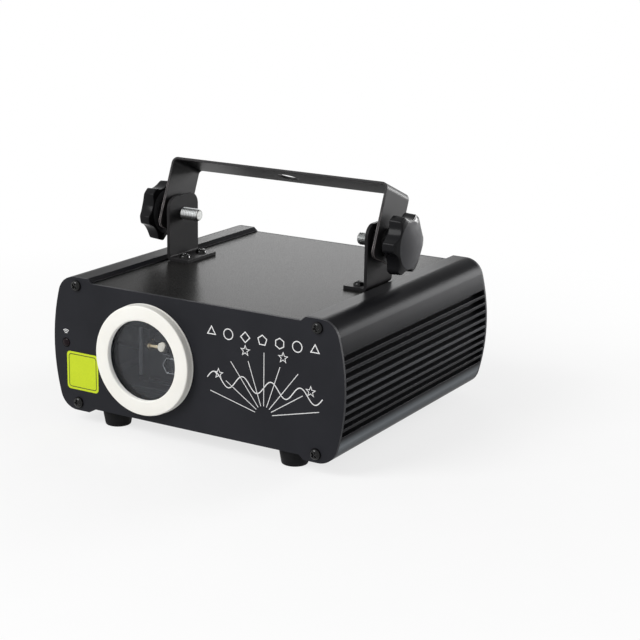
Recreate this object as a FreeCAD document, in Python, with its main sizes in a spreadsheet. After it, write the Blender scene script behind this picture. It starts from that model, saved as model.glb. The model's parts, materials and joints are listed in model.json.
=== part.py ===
"""Laser show projector: a finned housing on rubber feet, carried in a clamped yoke.

The front faces -Y, +X is to the right of someone facing the front, and +Z is up.
The origin is on the floor, under the middle of the housing.
"""
import FreeCAD
import Part
import math
import os
import re
import Sketcher

# Counts, which no length changes.
GROOVES = 10
KNOB_LOBES = 6
FAN_BLADES = 7
GUARD_RINGS = 3
LASERS = 3
RETAINER_SCREWS = 3
BUTTON_NAMES = ("menu_button", "up_button", "down_button", "enter_button")

# A sketch dimension has this length until its formula is bound.
UNBOUND = 1.0

# Positions closer than this are the same.
SAME = 0.001

# Driving sizes in millimetres. A name that ends in angle is in degrees.
SIZES = {
    # Every cut runs past its face by this much.
    "overrun": 1.0,
    # Radial clearances: shafts that turn, pieces that slip together, screws in their holes.
    "running_gap": 0.05,
    "fit_gap": 0.15,
    "moving_gap": 0.3,
    "thread_gap": 0.05,
    # Housing: side extrusions, covers in their grooves, end panels.
    "body_width": 206.0,
    "body_depth": 185.0,
    "core_height": 79.0,
    "lip_height": 2.7,
    "lip_inset": 29.0,
    "lip_edge": 0.8,
    "lip_bevel": 3.0,
    "side_radius": 126.0,
    "corner_radius": 12.5,
    "panel_thickness": 2.0,
    "plate_thickness": 2.0,
    "slot_depth": 4.0,
    "ledge_reach": 3.0,
    "ledge_thickness": 2.0,
    "wall_thickness": 2.0,
    "groove_pitch": 5.0,
    "groove_drop": 1.1,
    "groove_width": 3.3,
    "groove_depth": 5.0,
    # Pan-head screws of the panels, ears, feet, fan and connectors.
    "screw_radius": 1.5,
    "screw_length": 8.0,
    "screw_head_radius": 3.5,
    "screw_head_height": 2.4,
    "screw_head_bevel": 0.9,
    "screw_recess_reach": 1.9,
    "screw_recess_width": 0.9,
    "screw_recess_depth": 1.2,
    "panel_screw_inset": 18.0,
    "panel_screw_drop": 5.2,
    "screw_boss": 4.5,
    # Small pan-head screws of the glass retainer, the optics plate and the circuit boards.
    "small_screw_radius": 1.0,
    "small_screw_length": 5.0,
    "small_screw_head_radius": 1.9,
    "small_screw_head_height": 1.3,
    "small_screw_head_bevel": 0.4,
    "small_screw_recess_reach": 1.1,
    "small_screw_recess_width": 0.5,
    "small_screw_recess_depth": 0.7,
    # Rubber feet.
    "foot_height": 10.5,
    "foot_top_radius": 9.6,
    "foot_base_radius": 7.8,
    "foot_side_inset": 10.0,
    "foot_end_inset": 12.0,
    "foot_recess_radius": 4.2,
    "foot_recess_depth": 4.4,
    # Beam window: the glass sits in the white ring, held by a retainer behind the panel.
    "window_offset": 32.8,
    "window_drop": 0.6,
    "ring_margin": 5.6,
    "ring_width": 9.4,
    "ring_proud": 5.9,
    "ring_bevel": 0.8,
    "spigot_wall": 2.5,
    "glass_setback": 3.5,
    "glass_overlap": 2.0,
    "glass_thickness": 2.0,
    "retainer_wall": 1.6,
    "retainer_flange": 1.5,
    "retainer_edge": 3.0,
    # Infrared receiver in the front panel.
    "receiver_inset": 9.2,
    "receiver_hole_radius": 3.0,
    "receiver_lens_radius": 2.6,
    "receiver_body_radius": 3.6,
    "receiver_body_depth": 6.0,
    "receiver_pocket_radius": 4.0,
    "receiver_pocket_depth": 7.0,
    # Ears on the top cover.
    "ear_gap": 1.0,
    "ear_thickness": 2.0,
    "ear_width": 31.5,
    "ear_crest": 12.0,
    "ear_corner_radius": 8.0,
    "ear_bend_radius": 1.0,
    "ear_foot_reach": 16.0,
    "ear_screw_inset": 9.0,
    "ear_screw_pitch": 18.0,
    "pivot_rise": 28.5,
    # Yoke, its washers and the clamp knobs on their studs.
    "friction_washer_thickness": 3.7,
    "friction_washer_radius": 11.0,
    "yoke_thickness": 1.5,
    "yoke_width": 30.5,
    "yoke_rise": 33.0,
    "yoke_tail": 12.6,
    "yoke_bend_radius": 2.5,
    "yoke_corner_radius": 5.0,
    "yoke_hole_radius": 6.5,
    "yoke_lean_angle": 22.5,
    "clamp_washer_thickness": 1.6,
    "clamp_washer_radius": 8.5,
    "stud_radius": 4.0,
    "stud_tail": 12.3,
    "stud_seat": 9.0,
    "stud_chamfer": 0.8,
    "knob_neck_radius": 9.5,
    "knob_neck": 4.7,
    "knob_radius": 19.3,
    "knob_rim": 8.0,
    "knob_shoulder_radius": 12.5,
    "knob_shoulder_rise": 2.8,
    "knob_crown_radius": 5.0,
    "knob_dome": 4.7,
    "scallop_radius": 11.0,
    "scallop_depth": 3.8,
    # How far round each knob stands when it is tight.
    "right_lobe_angle": 57.0,
    "left_lobe_angle": 11.0,
    # Rear panel: heights of its two rows of fittings.
    "upper_row_rise": 18.0,
    "lower_row_drop": 16.0,
    # Mains inlet and its blades.
    "inlet_x": -56.0,
    "inlet_flange_width": 31.0,
    "inlet_flange_height": 24.0,
    "inlet_flange": 2.5,
    "inlet_width": 27.0,
    "inlet_height": 20.0,
    "inlet_depth": 20.0,
    "inlet_wall": 1.6,
    "inlet_floor": 4.0,
    "blade_width": 2.0,
    "blade_height": 4.0,
    "blade_length": 14.0,
    "blade_spread": 7.0,
    "blade_drop": 2.0,
    # Rocker switch.
    "switch_x": -32.0,
    "switch_flange_width": 15.0,
    "switch_flange_height": 21.0,
    "switch_flange": 2.0,
    "switch_width": 13.0,
    "switch_height": 19.0,
    "switch_depth": 14.0,
    "switch_floor": 3.0,
    "rocker_width": 10.5,
    "rocker_height": 15.0,
    "rocker_room": 0.9,
    "rocker_pivot_depth": 1.5,
    "rocker_valley": 2.0,
    "rocker_rise": 1.5,
    "rocker_root": 4.0,
    "rocker_root_height": 9.0,
    "rocker_pin_radius": 1.2,
    "rocker_pin_reach": 0.5,
    "rocker_throw_angle": 20.0,
    # Control connectors.
    "data_in_x": -10.5,
    "data_out_x": 16.5,
    "data_flange_width": 26.0,
    "data_flange_height": 31.0,
    "data_flange": 2.0,
    "data_radius": 11.0,
    "data_depth": 18.0,
    "data_cavity_radius": 9.3,
    "data_cavity_depth": 14.0,
    "data_pin_radius": 1.2,
    "data_pin_length": 11.0,
    "data_pin_circle": 5.6,
    "data_socket_radius": 1.5,
    "data_socket_depth": 10.0,
    "data_screw_spread": 9.5,
    "data_screw_rise": 12.0,
    # Display, its board and the menu buttons.
    "display_x": -44.0,
    "display_width": 42.0,
    "display_height": 16.0,
    "display_rim": 2.0,
    "display_rim_thickness": 1.5,
    "board_thickness": 1.6,
    "board_gap": 9.0,
    "board_margin": 8.0,
    "board_height": 20.0,
    "digits_width": 38.0,
    "digits_height": 13.0,
    "spacer_radius": 2.2,
    "spacer_inset": 3.5,
    "button_x": -12.0,
    "button_pitch": 11.0,
    "button_radius": 3.0,
    "button_proud": 2.2,
    "button_flange_radius": 4.4,
    "button_flange": 1.2,
    "button_stem_radius": 1.6,
    "button_travel": 0.8,
    "button_clearance": 0.15,
    "tact_size": 6.0,
    "tact_body": 3.5,
    "tact_plunger_radius": 1.6,
    "tact_plunger": 1.5,
    # Cooling fan behind its finger guard.
    "fan_x": 51.5,
    "fan_size": 40.0,
    "fan_depth": 10.0,
    "fan_bore": 18.8,
    "fan_screw_pitch": 32.0,
    "fan_spider": 1.6,
    "fan_strut": 3.0,
    "fan_pin_radius": 1.2,
    "fan_hub_radius": 9.0,
    "fan_hub_height": 6.5,
    "fan_hub_gap": 0.4,
    "fan_tip_gap": 0.8,
    "blade_chord": 5.0,
    "blade_thickness": 1.0,
    "blade_lean": 4.0,
    "guard_size": 42.0,
    "guard_plate": 2.0,
    "guard_proud": 5.9,
    "guard_wall": 1.2,
    # Optics plate on its pillars.
    "pillar_radius": 4.0,
    "pillar_side_inset": 7.0,
    "pillar_end_inset": 4.6,
    "base_front_gap": 10.0,
    "base_depth": 72.0,
    "base_thickness": 3.0,
    "beam_height": 9.0,
    # Beam scanner: two motors in a block, each with a mirror on its shaft.
    "scan_setback": 30.0,
    "scan_drop": 14.0,
    "scan_reach": 14.0,
    "scan_wall": 8.0,
    "scan_foot": 2.0,
    "motor_radius": 6.5,
    "motor_margin": 4.0,
    "motor_length": 28.0,
    "shaft_radius": 1.5,
    "shaft_seat": 10.0,
    "scan_mirror_length": 10.0,
    "scan_mirror_width": 9.0,
    "scan_mirror_thickness": 1.2,
    "shaft_bite": 2.0,
    "mirror_angle": 45.0,
    # Laser modules in their mounts and the beam combiner in front of them.
    "laser_start": 38.0,
    "laser_pitch": 22.0,
    "laser_gap": 11.0,
    "laser_radius": 6.0,
    "laser_length": 38.0,
    "laser_nose_radius": 4.0,
    "laser_nose": 4.0,
    "mount_width": 18.0,
    "mount_depth": 26.0,
    "mount_setback": 2.0,
    "mount_crown": 3.0,
    "combiner_width": 14.0,
    "combiner_height": 10.0,
    "combiner_thickness": 1.2,
    "post_radius": 5.0,
    # Circuit boards on the floor of the housing.
    "circuit_standoff": 6.0,
    "standoff_radius": 3.0,
    "circuit_depth": 52.0,
    "circuit_inner": 4.0,
    "circuit_gap": 10.5,
    "circuit_hole_inset": 4.0,
    "chip_size": 14.0,
    "chip_height": 2.5,
    "chip_spacing": 20.0,
    "chip_setback": 6.0,
    "header_width": 24.0,
    "header_depth": 6.0,
    "header_height": 9.0,
    "header_inset": 10.0,
    "transformer_width": 26.0,
    "transformer_depth": 22.0,
    "transformer_height": 22.0,
    "transformer_offset": 12.0,
    "capacitor_radius": 6.0,
    "capacitor_height": 20.0,
    "capacitor_offset": 16.0,
    "capacitor_spread": 9.0,
}

doc = FreeCAD.newDocument("laser_show_projector")
sheet = doc.addObject("Spreadsheet::Sheet", "dims")
for row, (size_name, size_value) in enumerate(SIZES.items(), start=1):
    sheet.set(f"A{row}", size_name)
    sheet.set(f"B{row}", str(size_value))
    sheet.setAlias(f"B{row}", size_name)
doc.recompute()

WORD = re.compile(r"[a-z][a-z_]*")
UP = FreeCAD.Vector(0, 0, 1)
DOWN = FreeCAD.Vector(0, 0, -1)
FRONT = FreeCAD.Vector(0, -1, 0)
BACK = FreeCAD.Vector(0, 1, 0)
RIGHT = FreeCAD.Vector(1, 0, 0)
LEFT = FreeCAD.Vector(-1, 0, 0)
ORIGIN = FreeCAD.Vector(0, 0, 0)

# Planes and lines that several pieces share, as formulas of the sizes.
BODY_Y = "((ring_proud - guard_proud) / 2)"
FRONT_FACE = f"({BODY_Y} - body_depth / 2)"
FRONT_BACK = f"({FRONT_FACE} + panel_thickness)"
REAR_FACE = f"({BODY_Y} + body_depth / 2)"
REAR_BACK = f"({REAR_FACE} - panel_thickness)"
INNER_DEPTH = "(body_depth - 2 * panel_thickness)"
COVER_TOP = "(foot_height + core_height)"
MIDDLE = "(foot_height + core_height / 2)"
FLOOR = "(foot_height + plate_thickness)"
LIP_INNER = "(body_width / 2 - lip_inset)"
SCREW_X = "(body_width / 2 - panel_screw_inset)"
SCREW_RISE = "(core_height / 2 + lip_height - panel_screw_drop)"
SCREW_HOLE = "screw_radius + thread_gap"
SMALL_SCREW_HOLE = "small_screw_radius + thread_gap"
WINDOW_X = "(-window_offset)"
WINDOW_Z = f"({MIDDLE} - window_drop)"
RING_RADIUS = "(core_height / 2 - ring_margin)"
RING_BORE = f"({RING_RADIUS} - ring_width)"
GLASS_RADIUS = f"({RING_BORE} + glass_overlap)"
GLASS_FRONT = f"({FRONT_FACE} - ring_proud + glass_setback)"
SPIGOT_RADIUS = f"({GLASS_RADIUS} + fit_gap + spigot_wall)"
RETAINER_CIRCLE = f"(({SPIGOT_RADIUS} + {RING_RADIUS}) / 2)"
RETAINER_BACK = f"({FRONT_BACK} + retainer_flange)"
RECEIVER_X = "(receiver_inset - body_width / 2)"
EAR_OUTER = f"({LIP_INNER} - ear_gap)"
LEG_INNER = f"({EAR_OUTER} + friction_washer_thickness)"
LEG_OUTER = f"({LEG_INNER} + yoke_thickness)"
KNOB_X = f"({LEG_OUTER} + clamp_washer_thickness)"
PIVOT = f"({COVER_TOP} + pivot_rise)"
UPPER_ROW = f"({MIDDLE} + upper_row_rise)"
LOWER_ROW = f"({MIDDLE} - lower_row_drop)"
BOARD_LEFT = "(display_x - display_width / 2 - board_margin)"
BOARD_RIGHT = f"(button_x + {len(BUTTON_NAMES) - 1} * button_pitch + board_margin)"
BOARD_FACE = f"({REAR_BACK} - board_gap)"
SCAN_Y = f"({FRONT_BACK} + scan_setback)"
BEAM_Z = f"({MIDDLE} - scan_drop)"
BASE_TOP = f"({BEAM_Z} - beam_height)"
BASE_LOW = f"({BASE_TOP} - base_thickness)"
BASE_FRONT = f"({FRONT_BACK} + base_front_gap)"
BASE_BACK = f"({BASE_FRONT} + base_depth)"
PILLAR_HEIGHT = f"({BASE_LOW} - {FLOOR})"
CIRCUIT_LOW = f"({FLOOR} + circuit_standoff)"
CIRCUIT_TOP = f"({CIRCUIT_LOW} + board_thickness)"
CIRCUIT_FRONT = f"({BASE_BACK} + circuit_gap)"
CIRCUIT_OUTER = f"({LIP_INNER} - ledge_reach)"
CIRCUIT_X = f"((circuit_inner + {CIRCUIT_OUTER}) / 2)"
CIRCUIT_WIDTH = f"({CIRCUIT_OUTER} - circuit_inner)"

parts = []


def size(name):
    """A driving size, read from the sheet."""
    return float(sheet.get(name))


def bound(formula):
    """A formula whose size names point at their cells in the sheet."""
    return WORD.sub(lambda word: f"dims.{word.group()}" if word.group() in SIZES else word.group(), formula)


def keep(piece):
    """Add a finished sub-part to the assembly."""
    parts.append(piece)
    return piece


def span(centre, width):
    """Low and high formulas of a width about a centre."""
    return f"{centre} - ({width}) / 2", f"{centre} + ({width}) / 2"


def place(piece, at, facing=UP, spin=0):
    """Turn a piece's own +Z to a direction, after a spin about it, and bind its position."""
    turn = FreeCAD.Rotation(UP, facing).multiply(FreeCAD.Rotation(UP, spin))
    piece.Placement = FreeCAD.Placement(ORIGIN, turn)
    for axis, formula in zip("xyz", at):
        piece.setExpression(f"Placement.Base.{axis}", bound(formula))
    return piece


def block(name, x, y, z):
    """A box from its low and high formulas along each axis."""
    piece = doc.addObject("Part::Box", name)
    for side, (low, high) in zip(("Length", "Width", "Height"), (x, y, z)):
        piece.setExpression(side, bound(f"({high}) - ({low})"))
    return place(piece, (x[0], y[0], z[0]))


def rod(name, radius, length, start, facing):
    """A cylinder that runs from the centre of its first face in a direction."""
    piece = doc.addObject("Part::Cylinder", name)
    piece.setExpression("Radius", bound(radius))
    piece.setExpression("Height", bound(length))
    return place(piece, start, facing)


def drill(name, radius, length, start, facing):
    """A cylinder for a cut, which runs past both of its faces."""
    piece = rod(name, radius, f"{length} + 2 * overrun", start, facing)
    for axis, formula, way in zip("xyz", start, facing):
        piece.setExpression(f"Placement.Base.{axis}", bound(f"{formula} - ({way}) * overrun"))
    return piece


def join(name, *pieces):
    """Several shapes as one solid."""
    piece = doc.addObject("Part::MultiFuse", name)
    piece.Shapes = list(pieces)
    piece.Refine = True
    return piece


def gather(name, pieces):
    """Several separate solids as one sub-part."""
    piece = doc.addObject("Part::Compound", name)
    piece.Links = list(pieces)
    return piece


def cut(name, base, *tools):
    """A shape without the room that other shapes take."""
    piece = doc.addObject("Part::Cut", name)
    piece.Base = base
    piece.Tool = tools[0] if len(tools) == 1 else join(f"{name}_room", *tools)
    piece.Refine = True
    return piece


def mirror(name, piece):
    """The left-hand twin of a right-hand piece."""
    twin = doc.addObject("Part::Mirroring", name)
    twin.Source = piece
    twin.Base = ORIGIN
    twin.Normal = RIGHT
    return twin


def copies(name, form, places):
    """Copies of one form, each at a position and facing a direction."""
    links = []
    for number, (at, facing) in enumerate(places, start=1):
        link = doc.addObject("App::Link", f"{name}_copy_{number}")
        link.LinkedObject = form
        links.append(place(link, at, facing))
    return gather(name, links)


def new_body(name):
    return doc.addObject("PartDesign::Body", name)


def origin_feature(body, role):
    return next(feature for feature in body.Origin.OriginFeatures if feature.Role == role)


def new_sketch(body, name, plane, lift="0"):
    """A sketch on one of its body's origin planes, lifted along the plane's normal."""
    sketch = body.newObject("Sketcher::SketchObject", name)
    sketch.AttachmentSupport = [(origin_feature(body, plane), "")]
    sketch.MapMode = "FlatFace"
    sketch.setExpression("AttachmentOffset.Base.z", bound(lift))
    return sketch


def pin_point(sketch, geometry, position, at):
    """Bind a point of a sketch to its distances from the sketch's origin."""
    for kind, formula in zip(("DistanceX", "DistanceY"), at):
        index = sketch.addConstraint(Sketcher.Constraint(kind, -1, 1, geometry, position, UNBOUND))
        sketch.setExpression(f"Constraints[{index}]", bound(formula))


def outline(sketch, corners):
    """A closed outline of straight edges through bound corners."""
    first = sketch.GeometryCount
    count = len(corners)
    turns = [2 * math.pi * number / count for number in range(count + 1)]
    ring = [FreeCAD.Vector(math.cos(turn), math.sin(turn), 0) for turn in turns]
    for number in range(count):
        sketch.addGeometry(Part.LineSegment(ring[number], ring[number + 1]), False)
    for number in range(count):
        following = first + (number + 1) % count
        sketch.addConstraint(Sketcher.Constraint("Coincident", first + number, 2, following, 1))
    for number, corner in enumerate(corners):
        pin_point(sketch, first + number, 1, corner)


def circle(sketch, centre, radius):
    """A circle with a bound centre and radius."""
    geometry = sketch.addGeometry(Part.Circle(ORIGIN, UP, UNBOUND), False)
    pin_point(sketch, geometry, 3, centre)
    index = sketch.addConstraint(Sketcher.Constraint("Radius", geometry, UNBOUND))
    sketch.setExpression(f"Constraints[{index}]", bound(radius))


def pad(body, name, sketch, length):
    feature = body.newObject("PartDesign::Pad", name)
    feature.Profile = sketch
    feature.setExpression("Length", bound(length))
    return feature


def pocket(body, name, sketch, length, reverse=False):
    feature = body.newObject("PartDesign::Pocket", name)
    feature.Profile = sketch
    feature.setExpression("Length", bound(length))
    feature.Reversed = reverse
    return feature


def revolved(name, corners):
    """A body turned about its own Z from a half section of radius and height pairs."""
    body = new_body(name)
    section = new_sketch(body, f"{name}_section", "XZ_Plane")
    outline(section, corners)
    feature = body.newObject("PartDesign::Revolution", f"{name}_turn")
    feature.Profile = section
    feature.ReferenceAxis = (section, ["V_Axis"])
    feature.Angle = 360
    return body


def polar(body, name, feature, count):
    """Repeat a feature evenly about the body's own Z."""
    pattern = body.newObject("PartDesign::PolarPattern", name)
    pattern.Originals = [feature]
    pattern.Axis = (origin_feature(body, "Z_Axis"), [""])
    pattern.Angle = 360
    pattern.Occurrences = count
    body.Tip = pattern
    return pattern


def round_edges(body, name, radius, chosen):
    """Round the edges of a body whose bounding boxes a test accepts."""
    doc.recompute()
    tip = body.Tip
    names = [f"Edge{number}" for number, edge in enumerate(tip.Shape.Edges, start=1) if chosen(edge.BoundBox)]
    feature = body.newObject("PartDesign::Fillet", name)
    feature.Base = (tip, names)
    feature.setExpression("Radius", bound(radius))
    return feature


def near(value, target):
    return math.isclose(value, target, abs_tol=SAME)


# Screws.


def screw_form(kind):
    """One pan-head screw: its head stands on the origin plane and its shank hangs below."""
    head, height = f"{kind}_head_radius", f"{kind}_head_height"
    bevel, shank, foot = f"{kind}_head_bevel", f"{kind}_radius", f"-{kind}_length"
    body = revolved(f"{kind}_form", [
        ("0", height), (f"{head} - {bevel}", height), (head, f"{height} - {bevel}"), (head, "0"),
        (shank, "0"), (shank, foot), ("0", foot)])
    cross = new_sketch(body, f"{kind}_cross", "XY_Plane", height)
    reach, half = f"{kind}_recess_reach", f"{kind}_recess_width / 2"
    outline(cross, [
        (reach, f"-{half}"), (reach, half), (half, half), (half, reach), (f"-{half}", reach),
        (f"-{half}", half),
        (f"-{reach}", half), (f"-{reach}", f"-{half}"), (f"-{half}", f"-{half}"), (f"-{half}", f"-{reach}"),
        (half, f"-{reach}"), (half, f"-{half}")])
    pocket(body, f"{kind}_recess", cross, f"{kind}_recess_depth")
    return body


def panel_screw_places(face, facing):
    """Heads of the four corner screws of an end panel."""
    return [((f"{side} * {SCREW_X}", face, f"{MIDDLE} + ({rise}) * {SCREW_RISE}"), facing)
            for side in (-1, 1) for rise in (-1, 1)]


def corner_places(x, y, z, facing):
    """Four positions at plus and minus a half span along X and Y, about centres given first."""
    (x_centre, x_half), (y_centre, y_half) = x, y
    return [((f"{x_centre} + ({a}) * ({x_half})", f"{y_centre} + ({b}) * ({y_half})", z), facing)
            for a in (-1, 1) for b in (-1, 1)]


def holes(name, radius, length, places):
    """Drilled room for a set of placed screws, below their heads."""
    return [drill(f"{name}_{number}", radius, length, at, facing.negative())
            for number, (at, facing) in enumerate(places, start=1)]


# Housing.


def at_height(x, z):
    """A point of the end view, measured from the middle of the housing."""
    return FreeCAD.Vector(x, 0, z)


def line(first, last):
    return Part.LineSegment(at_height(*first), at_height(*last)).toShape()


def arc(first, through, last):
    return Part.Arc(at_height(*first), at_height(*through), at_height(*last)).toShape()


def flank(z):
    """Half width of the bulging flank at a height from the middle."""
    radius = size("side_radius")
    return size("body_width") / 2 - radius + math.sqrt(radius ** 2 - z ** 2)


def flank_arc(first, last):
    z = (first[1] + last[1]) / 2
    return arc(first, (flank(z), z), last)


def corner_arc():
    """Start, middle and end of the arc from the upper lip to the flank, tangent to both."""
    side, fillet = size("side_radius"), size("corner_radius")
    rise = size("core_height") / 2 + size("lip_height") - fillet
    run = math.sqrt((side - fillet) ** 2 - rise ** 2)
    centre = size("body_width") / 2 - side + run
    turn = math.atan2(rise, run)
    turns = (math.pi / 2, (math.pi / 2 + turn) / 2, turn)
    return [(centre + fillet * math.cos(angle), rise + fillet * math.sin(angle)) for angle in turns]


def below(edges):
    """The same edges mirrored in the middle height."""
    return [edge.mirror(ORIGIN, UP) for edge in edges]


def prism(name, edges, length, start):
    """A solid whose end view is a closed set of edges, from a start towards the back."""
    face = Part.Face(Part.Wire(Part.__sortEdges__(edges)))
    piece = doc.addObject("Part::Feature", name)
    piece.Shape = face.extrude(BACK * length)
    return place(piece, ("0", start, MIDDLE))


def panel_blank(name, start):
    """An end panel's plate: raised lips, round corners and bulging flanks."""
    lip = size("body_width") / 2 - size("lip_inset")
    core = size("core_height") / 2
    crest = core + size("lip_height")
    bevel_end = (lip + size("lip_bevel"), crest)
    top, middle, side = corner_arc()
    upper = [
        line((0, core), (lip, core)), line((lip, core), bevel_end),
        line(bevel_end, top), arc(top, middle, side)]
    right = upper + [flank_arc(side, (side[0], -side[1]))] + below(upper)
    left = [edge.mirror(ORIGIN, RIGHT) for edge in right]
    return prism(name, right + left, size("panel_thickness"), start)


def finned_flank(side):
    """Fin tips and grooves from the upper corner arc to the lower one."""
    edges = []
    here = side
    for number in range(GROOVES):
        centre = size("groove_pitch") * ((GROOVES - 1) / 2 - number) - size("groove_drop")
        upper = centre + size("groove_width") / 2
        lower = centre - size("groove_width") / 2
        root = flank(centre) - size("groove_depth")
        mouth = (flank(upper), upper)
        leave = (flank(lower), lower)
        edges += [
            flank_arc(here, mouth), line(mouth, (root, upper)),
            line((root, upper), (root, lower)), line((root, lower), leave)]
        here = leave
    return edges + [flank_arc(here, (side[0], -side[1]))]


def extrusion_blank():
    """The right-hand side extrusion's bar: fins outside, cover grooves and screw bosses inside."""
    lip = size("body_width") / 2 - size("lip_inset")
    core = size("core_height") / 2
    crest = core + size("lip_height")
    screw_x = size("body_width") / 2 - size("panel_screw_inset")
    slot_end = lip + size("slot_depth")
    slot_floor = core - size("plate_thickness") - size("fit_gap")
    ledge_end = lip - size("ledge_reach")
    ledge_floor = slot_floor - size("ledge_thickness")
    boss_x = screw_x - size("screw_boss")
    boss_floor = crest - size("panel_screw_drop") - size("screw_boss")
    last_groove = size("groove_pitch") * (GROOVES - 1) / 2 + size("groove_drop")
    wall = flank(last_groove) - size("groove_depth") - size("wall_thickness")
    top, middle, side = corner_arc()
    corners = [
        top, (lip + size("lip_bevel"), crest), (lip, core + size("lip_edge")), (lip, core), (slot_end, core),
        (slot_end, slot_floor), (ledge_end, slot_floor), (ledge_end, ledge_floor), (boss_x, ledge_floor),
        (boss_x, boss_floor), (wall, boss_floor)]
    upper = [arc(top, middle, side)] + [line(a, b) for a, b in zip(corners, corners[1:])]
    inside = line((wall, boss_floor), (wall, -boss_floor))
    edges = upper + finned_flank(side) + below(upper) + [inside]
    length = size("body_depth") - 2 * size("panel_thickness")
    return prism("side_bar", edges, length, FRONT_BACK)


def side_extrusions():
    """Both side extrusions; the left one has a pocket behind the infrared receiver."""
    channels = [
        drill(f"screw_channel_{number}", SCREW_HOLE, INNER_DEPTH, at, BACK)
        for number, (at, _) in enumerate(panel_screw_places(FRONT_BACK, FRONT)[2:], start=1)]
    right = keep(cut("right_side_extrusion", extrusion_blank(), *channels))
    receiver_room = drill(
        "receiver_pocket", "receiver_pocket_radius", "receiver_pocket_depth",
        (RECEIVER_X, FRONT_BACK, MIDDLE), BACK)
    keep(cut("left_side_extrusion", mirror("left_side_bar", right), receiver_room))


def cover_plate(name, z, hole_radius, centres):
    """A plate that slides into the grooves of the side extrusions."""
    body = new_body(name)
    shape = new_sketch(body, f"{name}_outline", "XY_Plane")
    half_width = f"({LIP_INNER} + slot_depth - fit_gap)"
    half_depth = f"({INNER_DEPTH} / 2)"
    outline(shape, [
        (f"-{half_width}", f"-{half_depth}"), (half_width, f"-{half_depth}"),
        (half_width, half_depth), (f"-{half_width}", half_depth)])
    for x, y in centres:
        circle(shape, (x, y), hole_radius)
    pad(body, f"{name}_sheet", shape, "plate_thickness")
    return keep(place(body, ("0", BODY_Y, z)))


def ear_screw_places(seat):
    """Heads of the screws that hold the feet of both ears, at a seat height."""
    x = f"({EAR_OUTER} - ear_screw_inset)"
    return corner_places(("0", x), (BODY_Y, "ear_screw_pitch / 2"), seat, UP)


def foot_places(z, facing):
    x = f"({LIP_INNER} - foot_side_inset)"
    return corner_places(("0", x), (BODY_Y, "body_depth / 2 - foot_end_inset"), z, facing)


def local_centres(places):
    """Positions in plan from the middle of the housing, for a plate's own sketch."""
    return [(at[0], f"{at[1]} - {BODY_Y}") for at, _ in places]


def covers():
    cover_plate("top_cover", f"{COVER_TOP} - plate_thickness", SCREW_HOLE,
                local_centres(ear_screw_places("0")))
    cover_plate("bottom_plate", "foot_height", SCREW_HOLE, local_centres(foot_places("0", DOWN)))


def rubber_feet():
    cone = doc.addObject("Part::Cone", "foot_cone")
    cone.setExpression("Radius1", bound("foot_base_radius"))
    cone.setExpression("Radius2", bound("foot_top_radius"))
    cone.setExpression("Height", bound("foot_height"))
    recess = rod("foot_recess", "foot_recess_radius", "foot_recess_depth + overrun",
                 ("0", "0", "-overrun"), UP)
    hole = drill("foot_hole", SCREW_HOLE, "foot_height", ("0", "0", "0"), UP)
    form = cut("foot_form", cone, recess, hole)
    keep(copies("rubber_feet", form, foot_places("0", UP)))


# Beam window and receiver.


def retainer_screw_places(y):
    """Heads of the small screws behind the glass retainer."""
    places = []
    for number in range(RETAINER_SCREWS):
        turn = 2 * math.pi * (number / RETAINER_SCREWS + 1 / 4)
        x = f"{WINDOW_X} + {RETAINER_CIRCLE} * ({math.cos(turn):.6f})"
        z = f"{WINDOW_Z} + {RETAINER_CIRCLE} * ({math.sin(turn):.6f})"
        places.append(((x, y, z), BACK))
    return places


def lens_ring():
    """The white ring: a lip in front of the glass, a spigot through the panel and threads for its screws."""
    bore, rim, proud, bevel = RING_BORE, RING_RADIUS, "ring_proud", "ring_bevel"
    seat, shoulder = f"{GLASS_RADIUS} + fit_gap", "ring_proud - glass_setback"
    form = revolved("ring_form", [
        (seat, "-panel_thickness"), (SPIGOT_RADIUS, "-panel_thickness"), (SPIGOT_RADIUS, "0"), (rim, "0"),
        (rim, f"{proud} - {bevel}"), (f"{rim} - {bevel}", proud), (f"{bore} + {bevel}", proud),
        (bore, f"{proud} - {bevel}"), (bore, shoulder), (seat, shoulder)])
    place(form, (WINDOW_X, FRONT_FACE, WINDOW_Z), FRONT)
    reach = "small_screw_length - retainer_flange - panel_thickness"
    threads = holes("ring_thread", SMALL_SCREW_HOLE, reach, retainer_screw_places(FRONT_FACE))
    keep(cut("lens_ring", form, *threads))


def window_glass():
    """The glass behind the ring's lip, and the retainer whose sleeve holds it there."""
    keep(rod("window_glass", GLASS_RADIUS, "glass_thickness", (WINDOW_X, GLASS_FRONT, WINDOW_Z), BACK))
    seat = (WINDOW_X, FRONT_BACK, WINDOW_Z)
    glass_back = f"({GLASS_FRONT} + glass_thickness)"
    sleeve_length = f"{RETAINER_BACK} - {glass_back}"
    glass_seat = (WINDOW_X, glass_back, WINDOW_Z)
    flange = rod("retainer_disc", f"{RETAINER_CIRCLE} + retainer_edge", "retainer_flange", seat, BACK)
    sleeve = rod("retainer_sleeve", GLASS_RADIUS, sleeve_length, glass_seat, BACK)
    bore = drill("retainer_opening", f"{GLASS_RADIUS} - retainer_wall", sleeve_length, glass_seat, BACK)
    screws = holes("retainer_hole", SMALL_SCREW_HOLE, "retainer_flange", retainer_screw_places(RETAINER_BACK))
    keep(cut("glass_retainer", join("retainer_form", flange, sleeve), bore, *screws))


def infrared_receiver():
    lens = rod("receiver_lens", "receiver_lens_radius", "panel_thickness",
               (RECEIVER_X, FRONT_FACE, MIDDLE), BACK)
    can = rod("receiver_can", "receiver_body_radius", "receiver_body_depth",
              (RECEIVER_X, FRONT_BACK, MIDDLE), BACK)
    keep(join("infrared_receiver", lens, can))


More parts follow.
